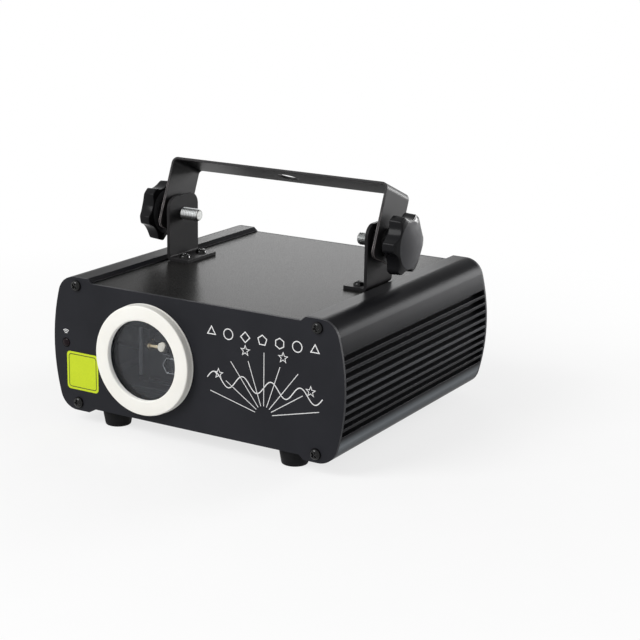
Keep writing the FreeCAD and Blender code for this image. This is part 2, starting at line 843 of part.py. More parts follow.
def front_panel():
    """The front plate with its window, receiver hole and screw holes."""
    window = drill("window_opening", f"{SPIGOT_RADIUS} + fit_gap", "panel_thickness",
                   (WINDOW_X, FRONT_FACE, WINDOW_Z), BACK)
    eye = drill("receiver_opening", "receiver_hole_radius", "panel_thickness",
                (RECEIVER_X, FRONT_FACE, MIDDLE), BACK)
    corners = holes("front_corner_hole", SCREW_HOLE, "panel_thickness", panel_screw_places(FRONT_FACE, FRONT))
    small = holes("front_small_hole", SMALL_SCREW_HOLE, "panel_thickness", retainer_screw_places(FRONT_BACK))
    keep(cut("front_panel", panel_blank("front_plate", FRONT_FACE), window, eye, *corners, *small))


# Bracket: ears, yoke, washers, studs and knobs.


def ears():
    """The right ear is bent from one strip; the left is its twin."""
    body = new_body("ear_strip")
    section = new_sketch(body, "ear_section", "XZ_Plane", "-ear_width / 2")
    foot_end, inner = f"{EAR_OUTER} - ear_foot_reach", f"{EAR_OUTER} - ear_thickness"
    crest = "pivot_rise + ear_crest"
    outline(section, [
        (foot_end, "0"), (EAR_OUTER, "0"), (EAR_OUTER, crest), (inner, crest),
        (inner, "ear_thickness"), (foot_end, "ear_thickness")])
    pad(body, "ear_bar", section, "ear_width")
    top = size("pivot_rise") + size("ear_crest")
    thickness = size("ear_thickness")
    outer = size("body_width") / 2 - size("lip_inset") - size("ear_gap")
    half = size("ear_width") / 2
    round_edges(body, "ear_corners", "ear_corner_radius",
                lambda box: near(box.ZMin, top) and near(box.YLength, 0) and near(abs(box.YMin), half))
    round_edges(body, "ear_inner_bend", "ear_bend_radius",
                lambda box: near(box.ZMin, thickness) and near(box.ZLength, 0)
                and near(box.XMin, outer - thickness) and near(box.XLength, 0))
    round_edges(body, "ear_outer_bend", "ear_bend_radius + ear_thickness",
                lambda box: near(box.ZMax, 0) and near(box.XMin, outer) and near(box.XLength, 0))
    place(body, ("0", BODY_Y, COVER_TOP))
    pivot = drill("ear_pivot_hole", "stud_radius + running_gap", "ear_thickness",
                  (f"{EAR_OUTER} - ear_thickness", BODY_Y, PIVOT), RIGHT)
    seat = f"{COVER_TOP} + ear_thickness"
    screws = holes("ear_screw_hole", SCREW_HOLE, "ear_thickness", ear_screw_places(seat)[2:])
    right = keep(cut("right_ear", body, pivot, *screws))
    keep(mirror("left_ear", right))
    keep(copies("ear_screws", doc.getObject("screw_form"), ear_screw_places(seat)))


def washer(name, radius, thickness, start):
    """A flat ring on the right-hand stud."""
    disc = rod(f"{name}_disc", radius, thickness, start, RIGHT)
    hole = drill(f"{name}_hole", "stud_radius + moving_gap", thickness, start, RIGHT)
    return cut(name, disc, hole)


def washers():
    friction = washer("right_friction_ring", "friction_washer_radius", "friction_washer_thickness",
                      (EAR_OUTER, BODY_Y, PIVOT))
    keep(gather("friction_washers", [friction, mirror("left_friction_ring", friction)]))
    clamp = keep(washer("right_clamp_washer", "clamp_washer_radius", "clamp_washer_thickness",
                        (LEG_OUTER, BODY_Y, PIVOT)))
    keep(mirror("left_clamp_washer", clamp))


def yoke():
    """A bent strap: two legs on the studs and a bar with the hanging hole, leaning back."""
    body = new_body("yoke_strap")
    section = new_sketch(body, "yoke_section", "XZ_Plane", "-yoke_width / 2")
    tail, rise, under = "-yoke_tail", "yoke_rise", "yoke_rise - yoke_thickness"
    outline(section, [
        (f"-{LEG_OUTER}", tail), (f"-{LEG_INNER}", tail), (f"-{LEG_INNER}", under), (LEG_INNER, under),
        (LEG_INNER, tail), (LEG_OUTER, tail), (LEG_OUTER, rise), (f"-{LEG_OUTER}", rise)])
    pad(body, "yoke_bar", section, "yoke_width")
    foot, top, half = -size("yoke_tail"), size("yoke_rise"), size("yoke_width") / 2
    round_edges(body, "yoke_leg_corners", "yoke_corner_radius",
                lambda box: near(box.ZMax, foot) and near(box.YLength, 0) and near(abs(box.YMin), half))
    round_edges(body, "yoke_inner_bends", "yoke_bend_radius",
                lambda box: near(box.ZMin, top - size("yoke_thickness")) and near(box.ZLength, 0)
                and near(box.XLength, 0))
    round_edges(body, "yoke_outer_bends", "yoke_bend_radius + yoke_thickness",
                lambda box: near(box.ZMin, top) and near(box.ZLength, 0) and near(box.XLength, 0))
    pivots = drill("yoke_pivot_holes", "stud_radius + moving_gap", f"2 * {LEG_OUTER}",
                   (f"-{LEG_OUTER}", "0", "0"), RIGHT)
    hanging = drill("yoke_hanging_hole", "yoke_hole_radius", "yoke_thickness", ("0", "0", under), UP)
    piece = cut("yoke", body, pivots, hanging)
    piece.Placement = FreeCAD.Placement(ORIGIN, FreeCAD.Rotation(LEFT, size("yoke_lean_angle")))
    piece.setExpression("Placement.Rotation.Angle", bound("yoke_lean_angle"))
    piece.setExpression("Placement.Base.y", bound(BODY_Y))
    piece.setExpression("Placement.Base.z", bound(PIVOT))
    keep(piece)


def knob(name, lobe_angle):
    """A lobed knob for the right-hand side, with a socket for its stud."""
    rim, crown = "knob_neck + knob_rim", "knob_neck + knob_rim + knob_dome"
    body = revolved(name, [
        ("stud_radius", "0"), ("knob_neck_radius", "0"), ("knob_neck_radius", "knob_neck"),
        ("knob_radius", "knob_neck"), ("knob_radius", rim),
        ("knob_shoulder_radius", f"{rim} + knob_shoulder_rise"), ("knob_crown_radius", crown),
        ("0", crown), ("0", "stud_seat"), ("stud_radius", "stud_seat")])
    scallop = new_sketch(body, f"{name}_scallop", "XY_Plane")
    reach = "(knob_radius + scallop_radius - scallop_depth)"
    circle(scallop, (f"{reach} * cos({lobe_angle})", f"{reach} * sin({lobe_angle})"), "scallop_radius")
    groove = pocket(body, f"{name}_scallop_cut", scallop, f"{crown} + overrun", reverse=True)
    polar(body, f"{name}_scallops", groove, KNOB_LOBES)
    return place(body, (KNOB_X, BODY_Y, PIVOT), RIGHT)


def clamp_knobs():
    """Lobed knobs, each with a threaded stud set in its neck."""
    keep(knob("right_knob", "right_lobe_angle"))
    keep(mirror("left_knob", knob("left_knob_form", "left_lobe_angle")))
    stack = "clamp_washer_thickness + yoke_thickness + friction_washer_thickness + ear_thickness"
    tip = f"-({stack} + stud_tail)"
    stud = revolved("right_stud", [
        ("0", tip), ("stud_radius - stud_chamfer", tip), ("stud_radius", f"{tip} + stud_chamfer"),
        ("stud_radius", "stud_seat"), ("0", "stud_seat")])
    keep(place(stud, (KNOB_X, BODY_Y, PIVOT), RIGHT))
    keep(mirror("left_stud", stud))


# Rear panel fittings.


def mains_inlet():
    """A recessed mains inlet: flange outside, body through the panel, three blades in the recess."""
    mouth = f"({REAR_FACE} + inlet_flange)"
    back = f"({REAR_FACE} - inlet_depth)"
    floor = f"({back} + inlet_floor)"
    flange = block("inlet_flange_plate", span("inlet_x", "inlet_flange_width"), (REAR_FACE, mouth),
                   span(LOWER_ROW, "inlet_flange_height"))
    body = block("inlet_body", span("inlet_x", "inlet_width"), (back, REAR_FACE),
                 span(LOWER_ROW, "inlet_height"))
    recess = block("inlet_recess", span("inlet_x", "inlet_width - 2 * inlet_wall"),
                   (floor, f"{mouth} + overrun"), span(LOWER_ROW, "inlet_height - 2 * inlet_wall"))
    keep(cut("mains_inlet", join("inlet_shell", flange, body), recess))
    blades = [
        block(f"inlet_blade_{number}", span(f"(inlet_x + ({side}) * blade_spread)", "blade_width"),
              (floor, f"{floor} + blade_length"),
              span(f"({LOWER_ROW} + ({rise}) * blade_drop)", "blade_height"))
        for number, (side, rise) in enumerate(((-1, -1), (0, 1), (1, -1)), start=1)]
    keep(gather("inlet_blades", blades))


def power_switch():
    """A rocker switch: its frame sits in the panel and the rocker turns on two pins."""
    mouth = f"({REAR_FACE} + switch_flange)"
    back = f"({REAR_FACE} - switch_depth)"
    pivot = ("switch_x", f"{REAR_FACE} - rocker_pivot_depth", LOWER_ROW)
    room_width, room_height = "rocker_width + 2 * moving_gap", "rocker_height + 2 * rocker_room"
    pin_length = "rocker_width + 2 * moving_gap + 2 * rocker_pin_reach"
    flange = block("switch_flange_plate", span("switch_x", "switch_flange_width"), (REAR_FACE, mouth),
                   span(LOWER_ROW, "switch_flange_height"))
    body = block("switch_body", span("switch_x", "switch_width"), (back, REAR_FACE),
                 span(LOWER_ROW, "switch_height"))
    room = block("switch_room", span("switch_x", room_width),
                 (f"{back} + switch_floor", f"{mouth} + overrun"), span(LOWER_ROW, room_height))
    pin_start = (f"switch_x - ({pin_length}) / 2", pivot[1], pivot[2])
    pin_room = rod("switch_pin_room", "rocker_pin_radius + running_gap", pin_length, pin_start, RIGHT)
    keep(cut("switch_frame", join("switch_shell", flange, body), room, pin_room))
    half, root = "rocker_height / 2", "rocker_root_height / 2"
    tilted = new_body("rocker_key")
    section = new_sketch(tilted, "rocker_section", "YZ_Plane", "-rocker_width / 2")
    outline(section, [
        ("rocker_valley", "0"), ("rocker_valley + rocker_rise", half), ("0", half), ("-rocker_root", root),
        ("-rocker_root", f"-{root}"), ("0", f"-{half}"), ("rocker_valley + rocker_rise", f"-{half}")])
    pad(tilted, "rocker_bar", section, "rocker_width")
    pin = rod("rocker_pin", "rocker_pin_radius", pin_length, (f"-({pin_length}) / 2", "0", "0"), RIGHT)
    rocker = join("power_rocker", tilted, pin)
    rocker.Placement = FreeCAD.Placement(ORIGIN, FreeCAD.Rotation(RIGHT, size("rocker_throw_angle") / 2))
    rocker.setExpression("Placement.Rotation.Angle", bound("rocker_throw_angle / 2"))
    for axis, formula in zip("xyz", pivot):
        rocker.setExpression(f"Placement.Base.{axis}", bound(formula))
    keep(rocker)


def data_screw_places(x):
    """Two flange screws of a control connector, on a diagonal."""
    seat = f"{REAR_FACE} + data_flange"
    return [((f"{x} + ({side}) * data_screw_spread", seat, f"{LOWER_ROW} + ({side}) * data_screw_rise"), BACK)
            for side in (-1, 1)]


def data_shell(name, x):
    """The flange and barrel of a round control connector."""
    mouth = f"({REAR_FACE} + data_flange)"
    flange = block(f"{name}_flange", span(x, "data_flange_width"), (REAR_FACE, mouth),
                   span(LOWER_ROW, "data_flange_height"))
    barrel = rod(f"{name}_barrel", "data_radius", "data_depth", (x, REAR_FACE, LOWER_ROW), FRONT)
    screws = holes(f"{name}_screw_hole", SCREW_HOLE, "data_flange", data_screw_places(x))
    return join(f"{name}_shell", flange, barrel), screws


def data_pin_places(x, y):
    places = []
    for turn in (0, math.pi / 2, math.pi):
        across = f"{x} + data_pin_circle * ({math.cos(turn):.6f})"
        places.append((across, y, f"{LOWER_ROW} - data_pin_circle * ({math.sin(turn):.6f})"))
    return places


def data_connectors():
    """The control input has pins in a recess; the output has three sockets in its face."""
    mouth = f"({REAR_FACE} + data_flange)"
    floor = f"({mouth} - data_cavity_depth)"
    shell, screws = data_shell("data_in", "data_in_x")
    recess = rod("data_in_recess", "data_cavity_radius", "data_cavity_depth + overrun",
                 ("data_in_x", floor, LOWER_ROW), BACK)
    keep(cut("data_in_connector", shell, recess, *screws))
    keep(gather("data_in_pins", [
        rod(f"data_in_pin_{number}", "data_pin_radius", "data_pin_length", at, BACK)
        for number, at in enumerate(data_pin_places("data_in_x", floor), start=1)]))
    shell, screws = data_shell("data_out", "data_out_x")
    sockets = [
        rod(f"data_out_socket_{number}", "data_socket_radius", "data_socket_depth + overrun", at, BACK)
        for number, at in enumerate(data_pin_places("data_out_x", f"{mouth} - data_socket_depth"), start=1)]
    keep(cut("data_out_connector", shell, *screws, *sockets))


def button_centre(number):
    return f"(button_x + {number} * button_pitch)"


def display():
    """The display's window in the panel, its digits, and their board on four spacers."""
    pane = block("display_pane", span("display_x", "display_width"), (REAR_BACK, REAR_FACE),
                 span(UPPER_ROW, "display_height"))
    rim_face = f"({REAR_BACK} - display_rim_thickness)"
    rim = block("display_rim_plate", span("display_x", "display_width + 2 * display_rim"),
                (rim_face, REAR_BACK), span(UPPER_ROW, "display_height + 2 * display_rim"))
    keep(join("display_window", pane, rim))
    keep(block("display_digits", span("display_x", "digits_width"), (BOARD_FACE, rim_face),
               span(UPPER_ROW, "digits_height")))
    keep(block("display_board", (BOARD_LEFT, BOARD_RIGHT), (f"{BOARD_FACE} - board_thickness", BOARD_FACE),
               span(UPPER_ROW, "board_height")))
    spacers = []
    for x in (f"{BOARD_LEFT} + spacer_inset", f"{BOARD_RIGHT} - spacer_inset"):
        for rise in (-1, 1):
            start = (x, BOARD_FACE, f"{UPPER_ROW} + ({rise}) * (board_height / 2 - spacer_inset)")
            spacers.append(rod(f"board_spacer_{len(spacers) + 1}", "spacer_radius", "board_gap", start, BACK))
    keep(gather("board_spacers", spacers))


def menu_buttons():
    """Four buttons in the panel, each over its own key switch on the board."""
    keys = []
    for number, name in enumerate(BUTTON_NAMES):
        x = button_centre(number)
        seat = (x, REAR_BACK, UPPER_ROW)
        cap = rod(f"{name}_cap", "button_radius", "panel_thickness + button_proud", seat, BACK)
        flange = rod(f"{name}_flange", "button_flange_radius", "button_flange", seat, FRONT)
        reach = "board_gap - tact_body - tact_plunger - button_travel - button_clearance"
        stem = rod(f"{name}_stem", "button_stem_radius", reach, seat, FRONT)
        keep(join(name, cap, flange, stem))
        key = block(f"{name}_key_body", span(x, "tact_size"), (BOARD_FACE, f"{BOARD_FACE} + tact_body"),
                    span(UPPER_ROW, "tact_size"))
        plunger = rod(f"{name}_key_plunger", "tact_plunger_radius", "tact_body + tact_plunger",
                      (x, BOARD_FACE, UPPER_ROW), BACK)
        keys.append(join(f"{name}_key", key, plunger))
    keep(gather("key_switches", keys))


def fan_screw_places():
    half = "fan_screw_pitch / 2"
    seat = f"{REAR_FACE} + guard_plate"
    return [((f"fan_x + ({a}) * {half}", seat, f"{MIDDLE} + ({b}) * {half}"), BACK)
            for a in (-1, 1) for b in (-1, 1)]


def cooling_fan():
    """A fan behind the panel: square frame with a spider and pin, and a bladed rotor on the pin."""
    inner = f"({REAR_BACK} - fan_depth)"
    centre = ("fan_x", inner, MIDDLE)
    frame = block("fan_block", span("fan_x", "fan_size"), (inner, REAR_BACK), span(MIDDLE, "fan_size"))
    duct = drill("fan_duct", "fan_bore", "fan_depth", centre, BACK)
    seats = [((at[0], REAR_BACK, at[2]), facing) for at, facing in fan_screw_places()]
    ring = cut("fan_ring", frame, duct, *holes("fan_frame_hole", SCREW_HOLE, "fan_depth", seats))
    spider = (inner, f"{inner} + fan_spider")
    level = block("fan_strut_level", span("fan_x", "fan_size"), spider, span(MIDDLE, "fan_strut"))
    upright = block("fan_strut_upright", span("fan_x", "fan_strut"), spider, span(MIDDLE, "fan_size"))
    boss = rod("fan_boss", "fan_hub_radius", "fan_spider", centre, BACK)
    pin = rod("fan_pin", "fan_pin_radius", "fan_spider + fan_hub_gap + fan_hub_height", centre, BACK)
    keep(join("fan_frame", ring, level, upright, boss, pin))
    rotor = revolved("fan_rotor", [
        ("fan_pin_radius + running_gap", "0"), ("fan_hub_radius", "0"), ("fan_hub_radius", "fan_hub_height"),
        ("fan_pin_radius + running_gap", "fan_hub_height")])
    section = new_sketch(rotor, "fan_blade_section", "YZ_Plane", "fan_hub_radius - blade_thickness")
    low, high = "(fan_hub_height - blade_chord) / 2", "(fan_hub_height + blade_chord) / 2"
    outline(section, [
        ("-blade_lean / 2", low), ("blade_thickness - blade_lean / 2", low),
        ("blade_thickness + blade_lean / 2", high), ("blade_lean / 2", high)])
    tip = "fan_bore - fan_tip_gap - fan_hub_radius"
    blade = pad(rotor, "fan_blade", section, f"{tip} - blade_lean / 2")
    polar(rotor, "fan_blades", blade, FAN_BLADES)
    keep(place(rotor, ("fan_x", f"{inner} + fan_spider + fan_hub_gap", MIDDLE), BACK))


def fan_guard():
    """A finger guard: a square plate with concentric rings on two crossing ribs."""
    face = (REAR_FACE, f"{REAR_FACE} + guard_plate")
    height = (REAR_FACE, f"{REAR_FACE} + guard_proud")
    centre = ("fan_x", REAR_FACE, MIDDLE)
    plate = block("guard_sheet", span("fan_x", "guard_size"), face, span(MIDDLE, "guard_size"))
    opening = drill("guard_opening", "fan_bore", "guard_plate", centre, BACK)
    screws = holes("guard_hole", SCREW_HOLE, "guard_plate", fan_screw_places())
    rim = cut("guard_rim", plate, opening, *screws)
    rings = []
    for number in range(1, GUARD_RINGS + 1):
        outer = f"fan_bore * {number} / {GUARD_RINGS}"
        wall = rod(f"guard_wall_{number}", outer, "guard_proud", centre, BACK)
        inside = drill(f"guard_gap_{number}", f"{outer} - guard_wall", "guard_proud", centre, BACK)
        rings.append(cut(f"guard_ring_{number}", wall, inside))
    ribs = [
        block("guard_rib_level", span("fan_x", "2 * fan_bore"), height, span(MIDDLE, "guard_wall")),
        block("guard_rib_upright", span("fan_x", "guard_wall"), height, span(MIDDLE, "2 * fan_bore"))]
    keep(join("fan_guard", rim, *rings, *ribs))


def rear_panel():
    """The rear plate with an opening for each fitting."""
    depth = (f"{REAR_BACK} - overrun", f"{REAR_FACE} + overrun")
    inlet = block("inlet_opening", span("inlet_x", "inlet_width + 2 * fit_gap"), depth,
                  span(LOWER_ROW, "inlet_height + 2 * fit_gap"))
    switch = block("switch_opening", span("switch_x", "switch_width + 2 * fit_gap"), depth,
                   span(LOWER_ROW, "switch_height + 2 * fit_gap"))
    pane = block("display_opening", span("display_x", "display_width + 2 * fit_gap"), depth,
                 span(UPPER_ROW, "display_height + 2 * fit_gap"))
    air = drill("fan_opening", "fan_bore", "panel_thickness", ("fan_x", REAR_FACE, MIDDLE), FRONT)
    barrels = [
        drill(f"{x}_opening", "data_radius + fit_gap", "panel_thickness", (x, REAR_FACE, LOWER_ROW), FRONT)
        for x in ("data_in_x", "data_out_x")]
    keys = [
        drill(f"{name}_opening", "button_radius + moving_gap", "panel_thickness",
              (button_centre(number), REAR_FACE, UPPER_ROW), FRONT)
        for number, name in enumerate(BUTTON_NAMES)]
    places = panel_screw_places(REAR_FACE, BACK) + rear_screw_places()
    seats = [((at[0], REAR_FACE, at[2]), facing) for at, facing in places]
    screws = holes("rear_screw_hole", SCREW_HOLE, "panel_thickness", seats)
    plate = panel_blank("rear_plate", REAR_BACK)
    keep(cut("rear_panel", plate, inlet, switch, pane, air, *barrels, *keys, *screws))


def rear_screw_places():
    """Heads of the screws that hold the fan and the control connectors."""
    return fan_screw_places() + data_screw_places("data_in_x") + data_screw_places("data_out_x")


# Inside: optics plate, scanner, lasers and circuit boards.


def laser_x(number):
    return f"(laser_start - window_offset + {number} * laser_pitch)"


def pillar_places(z, facing):
    half_width = f"{LIP_INNER} - pillar_side_inset"
    half_depth = "base_depth / 2 - pillar_end_inset"
    return corner_places(("0", half_width), (f"({BASE_FRONT} + {BASE_BACK}) / 2", half_depth), z, facing)


def optics_base():
    """A plate on four pillars, with a round post under each combiner mirror."""
    plate = block("optics_plate", (f"-{LIP_INNER}", LIP_INNER), (BASE_FRONT, BASE_BACK),
                  (BASE_LOW, BASE_TOP))
    posts = [
        rod(f"combiner_post_{number}", "post_radius", f"{BEAM_Z} - combiner_height / 2 - {BASE_LOW}",
            (laser_x(number), SCAN_Y, BASE_LOW), UP)
        for number in range(LASERS)]
    solid = join("optics_solid", plate, *posts)
    screws = holes("base_hole", SMALL_SCREW_HOLE, "base_thickness", pillar_places(BASE_TOP, UP))
    keep(cut("optics_base", solid, *screws))
    pillar = rod("pillar_rod", "pillar_radius", PILLAR_HEIGHT, ("0", "0", "0"), UP)
    hole = drill("pillar_hole", SMALL_SCREW_HOLE, PILLAR_HEIGHT, ("0", "0", "0"), UP)
    form = cut("pillar_form", pillar, hole)
    keep(copies("optics_pillars", form, pillar_places(FLOOR, UP)))


def scanner():
    """A block that holds two motors at right angles, with a mirror on each shaft."""
    half = "(motor_radius + motor_margin)"
    side_x = f"({WINDOW_X} - scan_reach)"
    rear_y = f"({SCAN_Y} + scan_reach)"
    side_plate = block("scan_side_plate", (f"{side_x} - scan_wall", side_x), span(SCAN_Y, f"2 * {half}"),
                       (BASE_TOP, f"{MIDDLE} + {half}"))
    rear_plate = block("scan_rear_plate", span(WINDOW_X, f"2 * {half}"), (rear_y, f"{rear_y} + scan_wall"),
                       (BASE_TOP, f"{BEAM_Z} + {half}"))
    foot = block("scan_foot_plate", (f"{side_x} - scan_wall", f"{WINDOW_X} + {half}"),
                 (f"{SCAN_Y} - {half}", f"{rear_y} + scan_wall"), (BASE_TOP, f"{BASE_TOP} + scan_foot"))
    seats = {
        "x_scan": ((WINDOW_X, rear_y, BEAM_Z), BACK, size("mirror_angle")),
        "y_scan": ((side_x, SCAN_Y, MIDDLE), LEFT, -size("mirror_angle"))}
    bores = [drill(f"{name}_seat", "motor_radius + fit_gap", "scan_wall", at, facing)
             for name, (at, facing, _) in seats.items()]
    keep(cut("scanner_block", join("scan_bracket", side_plate, rear_plate, foot), *bores))
    motors = []
    for name, (at, facing, _) in seats.items():
        can = rod(f"{name}_can", "motor_radius", "motor_length", at, facing)
        bore = rod(f"{name}_bore", "shaft_radius + running_gap", "shaft_seat + overrun", at, facing)
        motors.append(cut(f"{name}_motor", can, bore))
    keep(gather("scanner_motors", motors))
    for name, (at, facing, spin) in seats.items():
        keep(place(scan_mirror(f"{name}_mirror"), at, facing, spin))


def scan_mirror(name):
    """A mirror on a shaft along its own Z; the origin is at the motor's face."""
    body = new_body(name)
    middle, width = "-scan_reach", "scan_mirror_width / 2"
    glass = new_sketch(body, f"{name}_glass_outline", "XY_Plane", f"{middle} - scan_mirror_length / 2")
    thick = "scan_mirror_thickness / 2"
    outline(glass, [(f"-{width}", f"-{thick}"), (width, f"-{thick}"), (width, thick), (f"-{width}", thick)])
    pad(body, f"{name}_glass", glass, "scan_mirror_length")
    start = f"{middle} + scan_mirror_length / 2 - shaft_bite"
    spindle = new_sketch(body, f"{name}_spindle", "XY_Plane", start)
    circle(spindle, ("0", "0"), "shaft_radius")
    pad(body, f"{name}_shaft", spindle, f"shaft_seat - ({start})")
    return body


def laser_modules():
    """Three modules in a row, each turned into the common beam by its own combiner mirror."""
    form = revolved("laser_form", [
        ("0", "0"), ("laser_nose_radius", "0"), ("laser_nose_radius", "laser_nose"),
        ("laser_radius", "laser_nose"), ("laser_radius", "laser_length"), ("0", "laser_length")])
    start = f"({SCAN_Y} + laser_gap)"
    places = [((laser_x(number), start, BEAM_Z), BACK) for number in range(LASERS)]
    keep(copies("laser_modules", form, places))
    mounts = []
    for number in range(LASERS):
        front = f"({start} + laser_nose + mount_setback)"
        body = block(f"mount_block_{number}", span(laser_x(number), "mount_width"),
                     (front, f"{front} + mount_depth"), (BASE_TOP, f"{BEAM_Z} + laser_radius + mount_crown"))
        seat = drill(f"mount_seat_{number}", "laser_radius + fit_gap", "mount_depth",
                     (laser_x(number), front, BEAM_Z), BACK)
        mounts.append(cut(f"laser_mount_{number}", body, seat))
    keep(gather("laser_mounts", mounts))


def combiner_mirrors():
    half, thick = "combiner_width / 2", "combiner_thickness / 2"
    plates = []
    for number in range(LASERS):
        body = new_body(f"combiner_mirror_{number}")
        shape = new_sketch(body, f"combiner_outline_{number}", "XY_Plane")
        outline(shape, [(f"-{half}", f"-{thick}"), (half, f"-{thick}"), (half, thick), (f"-{half}", thick)])
        pad(body, f"combiner_plate_{number}", shape, "combiner_height")
        at = (laser_x(number), SCAN_Y, f"{BEAM_Z} - combiner_height / 2")
        plates.append(place(body, at, UP, size("mirror_angle")))
    keep(gather("combiner_mirrors", plates))


def circuit_hole_places(z, facing):
    """Corner holes of both circuit boards."""
    y = (f"{CIRCUIT_FRONT} + circuit_depth / 2", "circuit_depth / 2 - circuit_hole_inset")
    half = f"{CIRCUIT_WIDTH} / 2 - circuit_hole_inset"
    left = corner_places((f"(-{CIRCUIT_X})", half), y, z, facing)
    right = corner_places((CIRCUIT_X, half), y, z, facing)
    return left + right


def circuit_board(name, side, places):
    """A board on one side of the housing, with its corner holes."""
    plate = block(f"{name}_sheet", span(f"({side}) * {CIRCUIT_X}", CIRCUIT_WIDTH),
                  (CIRCUIT_FRONT, f"{CIRCUIT_FRONT} + circuit_depth"), (CIRCUIT_LOW, CIRCUIT_TOP))
    keep(cut(name, plate, *holes(f"{name}_hole", SMALL_SCREW_HOLE, "board_thickness", places)))


def circuit_boards():
    """The control board on the left and the power supply on the right, with their parts."""
    places = circuit_hole_places(CIRCUIT_TOP, UP)
    circuit_board("control_board", -1, places[:4])
    circuit_board("supply_board", 1, places[4:])
    post = rod("standoff_rod", "standoff_radius", "circuit_standoff", ("0", "0", "0"), UP)
    hole = drill("standoff_hole", SMALL_SCREW_HOLE, "circuit_standoff", ("0", "0", "0"), UP)
    form = cut("standoff_form", post, hole)
    keep(copies("board_standoffs", form, circuit_hole_places(FLOOR, UP)))
    middle = f"({CIRCUIT_FRONT} + circuit_depth / 2)"
    header_y = f"({CIRCUIT_FRONT} + header_inset)"
    chips = [
        block(f"chip_{number}", span(f"({side} * chip_spacing / 2 - {CIRCUIT_X})", "chip_size"),
              span(f"({middle} + chip_setback)", "chip_size"), (CIRCUIT_TOP, f"{CIRCUIT_TOP} + chip_height"))
        for number, side in enumerate((-1, 1), start=1)]
    header = block("cable_header", span(f"(-{CIRCUIT_X})", "header_width"), span(header_y, "header_depth"),
                   (CIRCUIT_TOP, f"{CIRCUIT_TOP} + header_height"))
    keep(gather("control_board_parts", chips + [header]))
    core = block("transformer", span(f"({CIRCUIT_X} - transformer_offset)", "transformer_width"),
                 span(middle, "transformer_depth"), (CIRCUIT_TOP, f"{CIRCUIT_TOP} + transformer_height"))
    cans = [
        rod(f"capacitor_{number}", "capacitor_radius", "capacitor_height",
            (f"{CIRCUIT_X} + capacitor_offset", f"{middle} + ({side}) * capacitor_spread", CIRCUIT_TOP), UP)
        for number, side in enumerate((-1, 1), start=1)]
    keep(gather("supply_parts", [core] + cans))


def screw_groups():
    """Identical screws of each use, as one sub-part of separate solids."""
    form, small = doc.getObject("screw_form"), doc.getObject("small_screw_form")
    ends = panel_screw_places(FRONT_FACE, FRONT) + panel_screw_places(REAR_FACE, BACK)
    keep(copies("panel_screws", form, ends))
    keep(copies("foot_screws", form, foot_places("foot_recess_depth", DOWN)))
    keep(copies("rear_fitting_screws", form, rear_screw_places()))
    inner = pillar_places(BASE_TOP, UP) + circuit_hole_places(CIRCUIT_TOP, UP)
    keep(copies("small_screws", small, retainer_screw_places(RETAINER_BACK) + inner))


def build():
    screw_form("screw")
    screw_form("small_screw")
    side_extrusions()
    covers()
    rubber_feet()
    front_panel()
    lens_ring()
    window_glass()
    infrared_receiver()
    ears()
    washers()
    yoke()
    clamp_knobs()
    rear_panel()
    mains_inlet()
    power_switch()
    data_connectors()
    display()
    menu_buttons()
    cooling_fan()
    fan_guard()
    optics_base()
    scanner()
    laser_modules()
    combiner_mirrors()
    circuit_boards()
    screw_groups()
    doc.recompute()


def check():
    """Stop if any object failed or any sub-part has no sound solid."""
    for item in doc.Objects:
        if {"Invalid", "Error"} & set(item.State):
            raise RuntimeError(f"{item.Label} failed: {item.State}")
    for piece in parts:
        if piece.Shape.isNull() or not piece.Shape.isValid() or not piece.Shape.Solids:
            raise RuntimeError(f"{piece.Label} has no sound solid")


def export():
    os.makedirs("parts", exist_ok=True)
    for piece in parts:
        piece.Shape.exportStep(f"parts/{piece.Label}.step")


build()
check()
export()
print(len(parts), "sub-parts written")
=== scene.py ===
# Looks of a laser show projector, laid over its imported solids.
import json
import math

import bmesh
import bpy
from mathutils import Matrix, Vector
from mathutils.bvhtree import BVHTree


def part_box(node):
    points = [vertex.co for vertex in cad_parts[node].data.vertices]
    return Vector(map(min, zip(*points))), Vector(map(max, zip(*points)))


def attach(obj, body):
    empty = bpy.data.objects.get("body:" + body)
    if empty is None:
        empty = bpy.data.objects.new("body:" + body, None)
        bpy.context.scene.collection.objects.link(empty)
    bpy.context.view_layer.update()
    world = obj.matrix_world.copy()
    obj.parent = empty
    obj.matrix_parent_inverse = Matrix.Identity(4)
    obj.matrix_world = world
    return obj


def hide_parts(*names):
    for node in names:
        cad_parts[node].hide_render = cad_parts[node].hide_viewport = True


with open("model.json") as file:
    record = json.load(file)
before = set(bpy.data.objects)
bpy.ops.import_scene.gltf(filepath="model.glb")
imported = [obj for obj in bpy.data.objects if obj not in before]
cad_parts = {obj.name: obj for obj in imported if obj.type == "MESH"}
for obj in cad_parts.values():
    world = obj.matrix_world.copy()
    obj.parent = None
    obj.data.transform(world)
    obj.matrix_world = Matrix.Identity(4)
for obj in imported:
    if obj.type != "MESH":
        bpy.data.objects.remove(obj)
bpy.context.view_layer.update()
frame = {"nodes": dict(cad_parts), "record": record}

MM = 0.001

# The camera: its place in metres, its turns in degrees and its lens in millimetres
CAMERA_PLACE = Vector((0.5241, -0.8349, 0.3264))
CAMERA_YAW = 30.52
CAMERA_PITCH = 15.23
CAMERA_ROLL = 0.97
CAMERA_LENS = 91.03

# The soft lamps, in metres and watts, and the share of the white surroundings that lights the object
LAMP_TARGET = Vector((0, 0, 0.06))
LAMPS = {
    "key_softbox": {"place": Vector((-0.55, -1.1, 1.0)), "width": 0.8, "height": 0.8, "power": 17},
    "strip_softbox": {"place": Vector((0.62, 1.15, 0.27)), "width": 0.6, "height": 0.44, "power": 16},
    "back_softbox": {"place": Vector((-0.73, 1.26, 0.45)), "width": 0.42, "height": 0.4, "power": 2.3},
}
WORLD_LIGHT_SHARE = 0.32

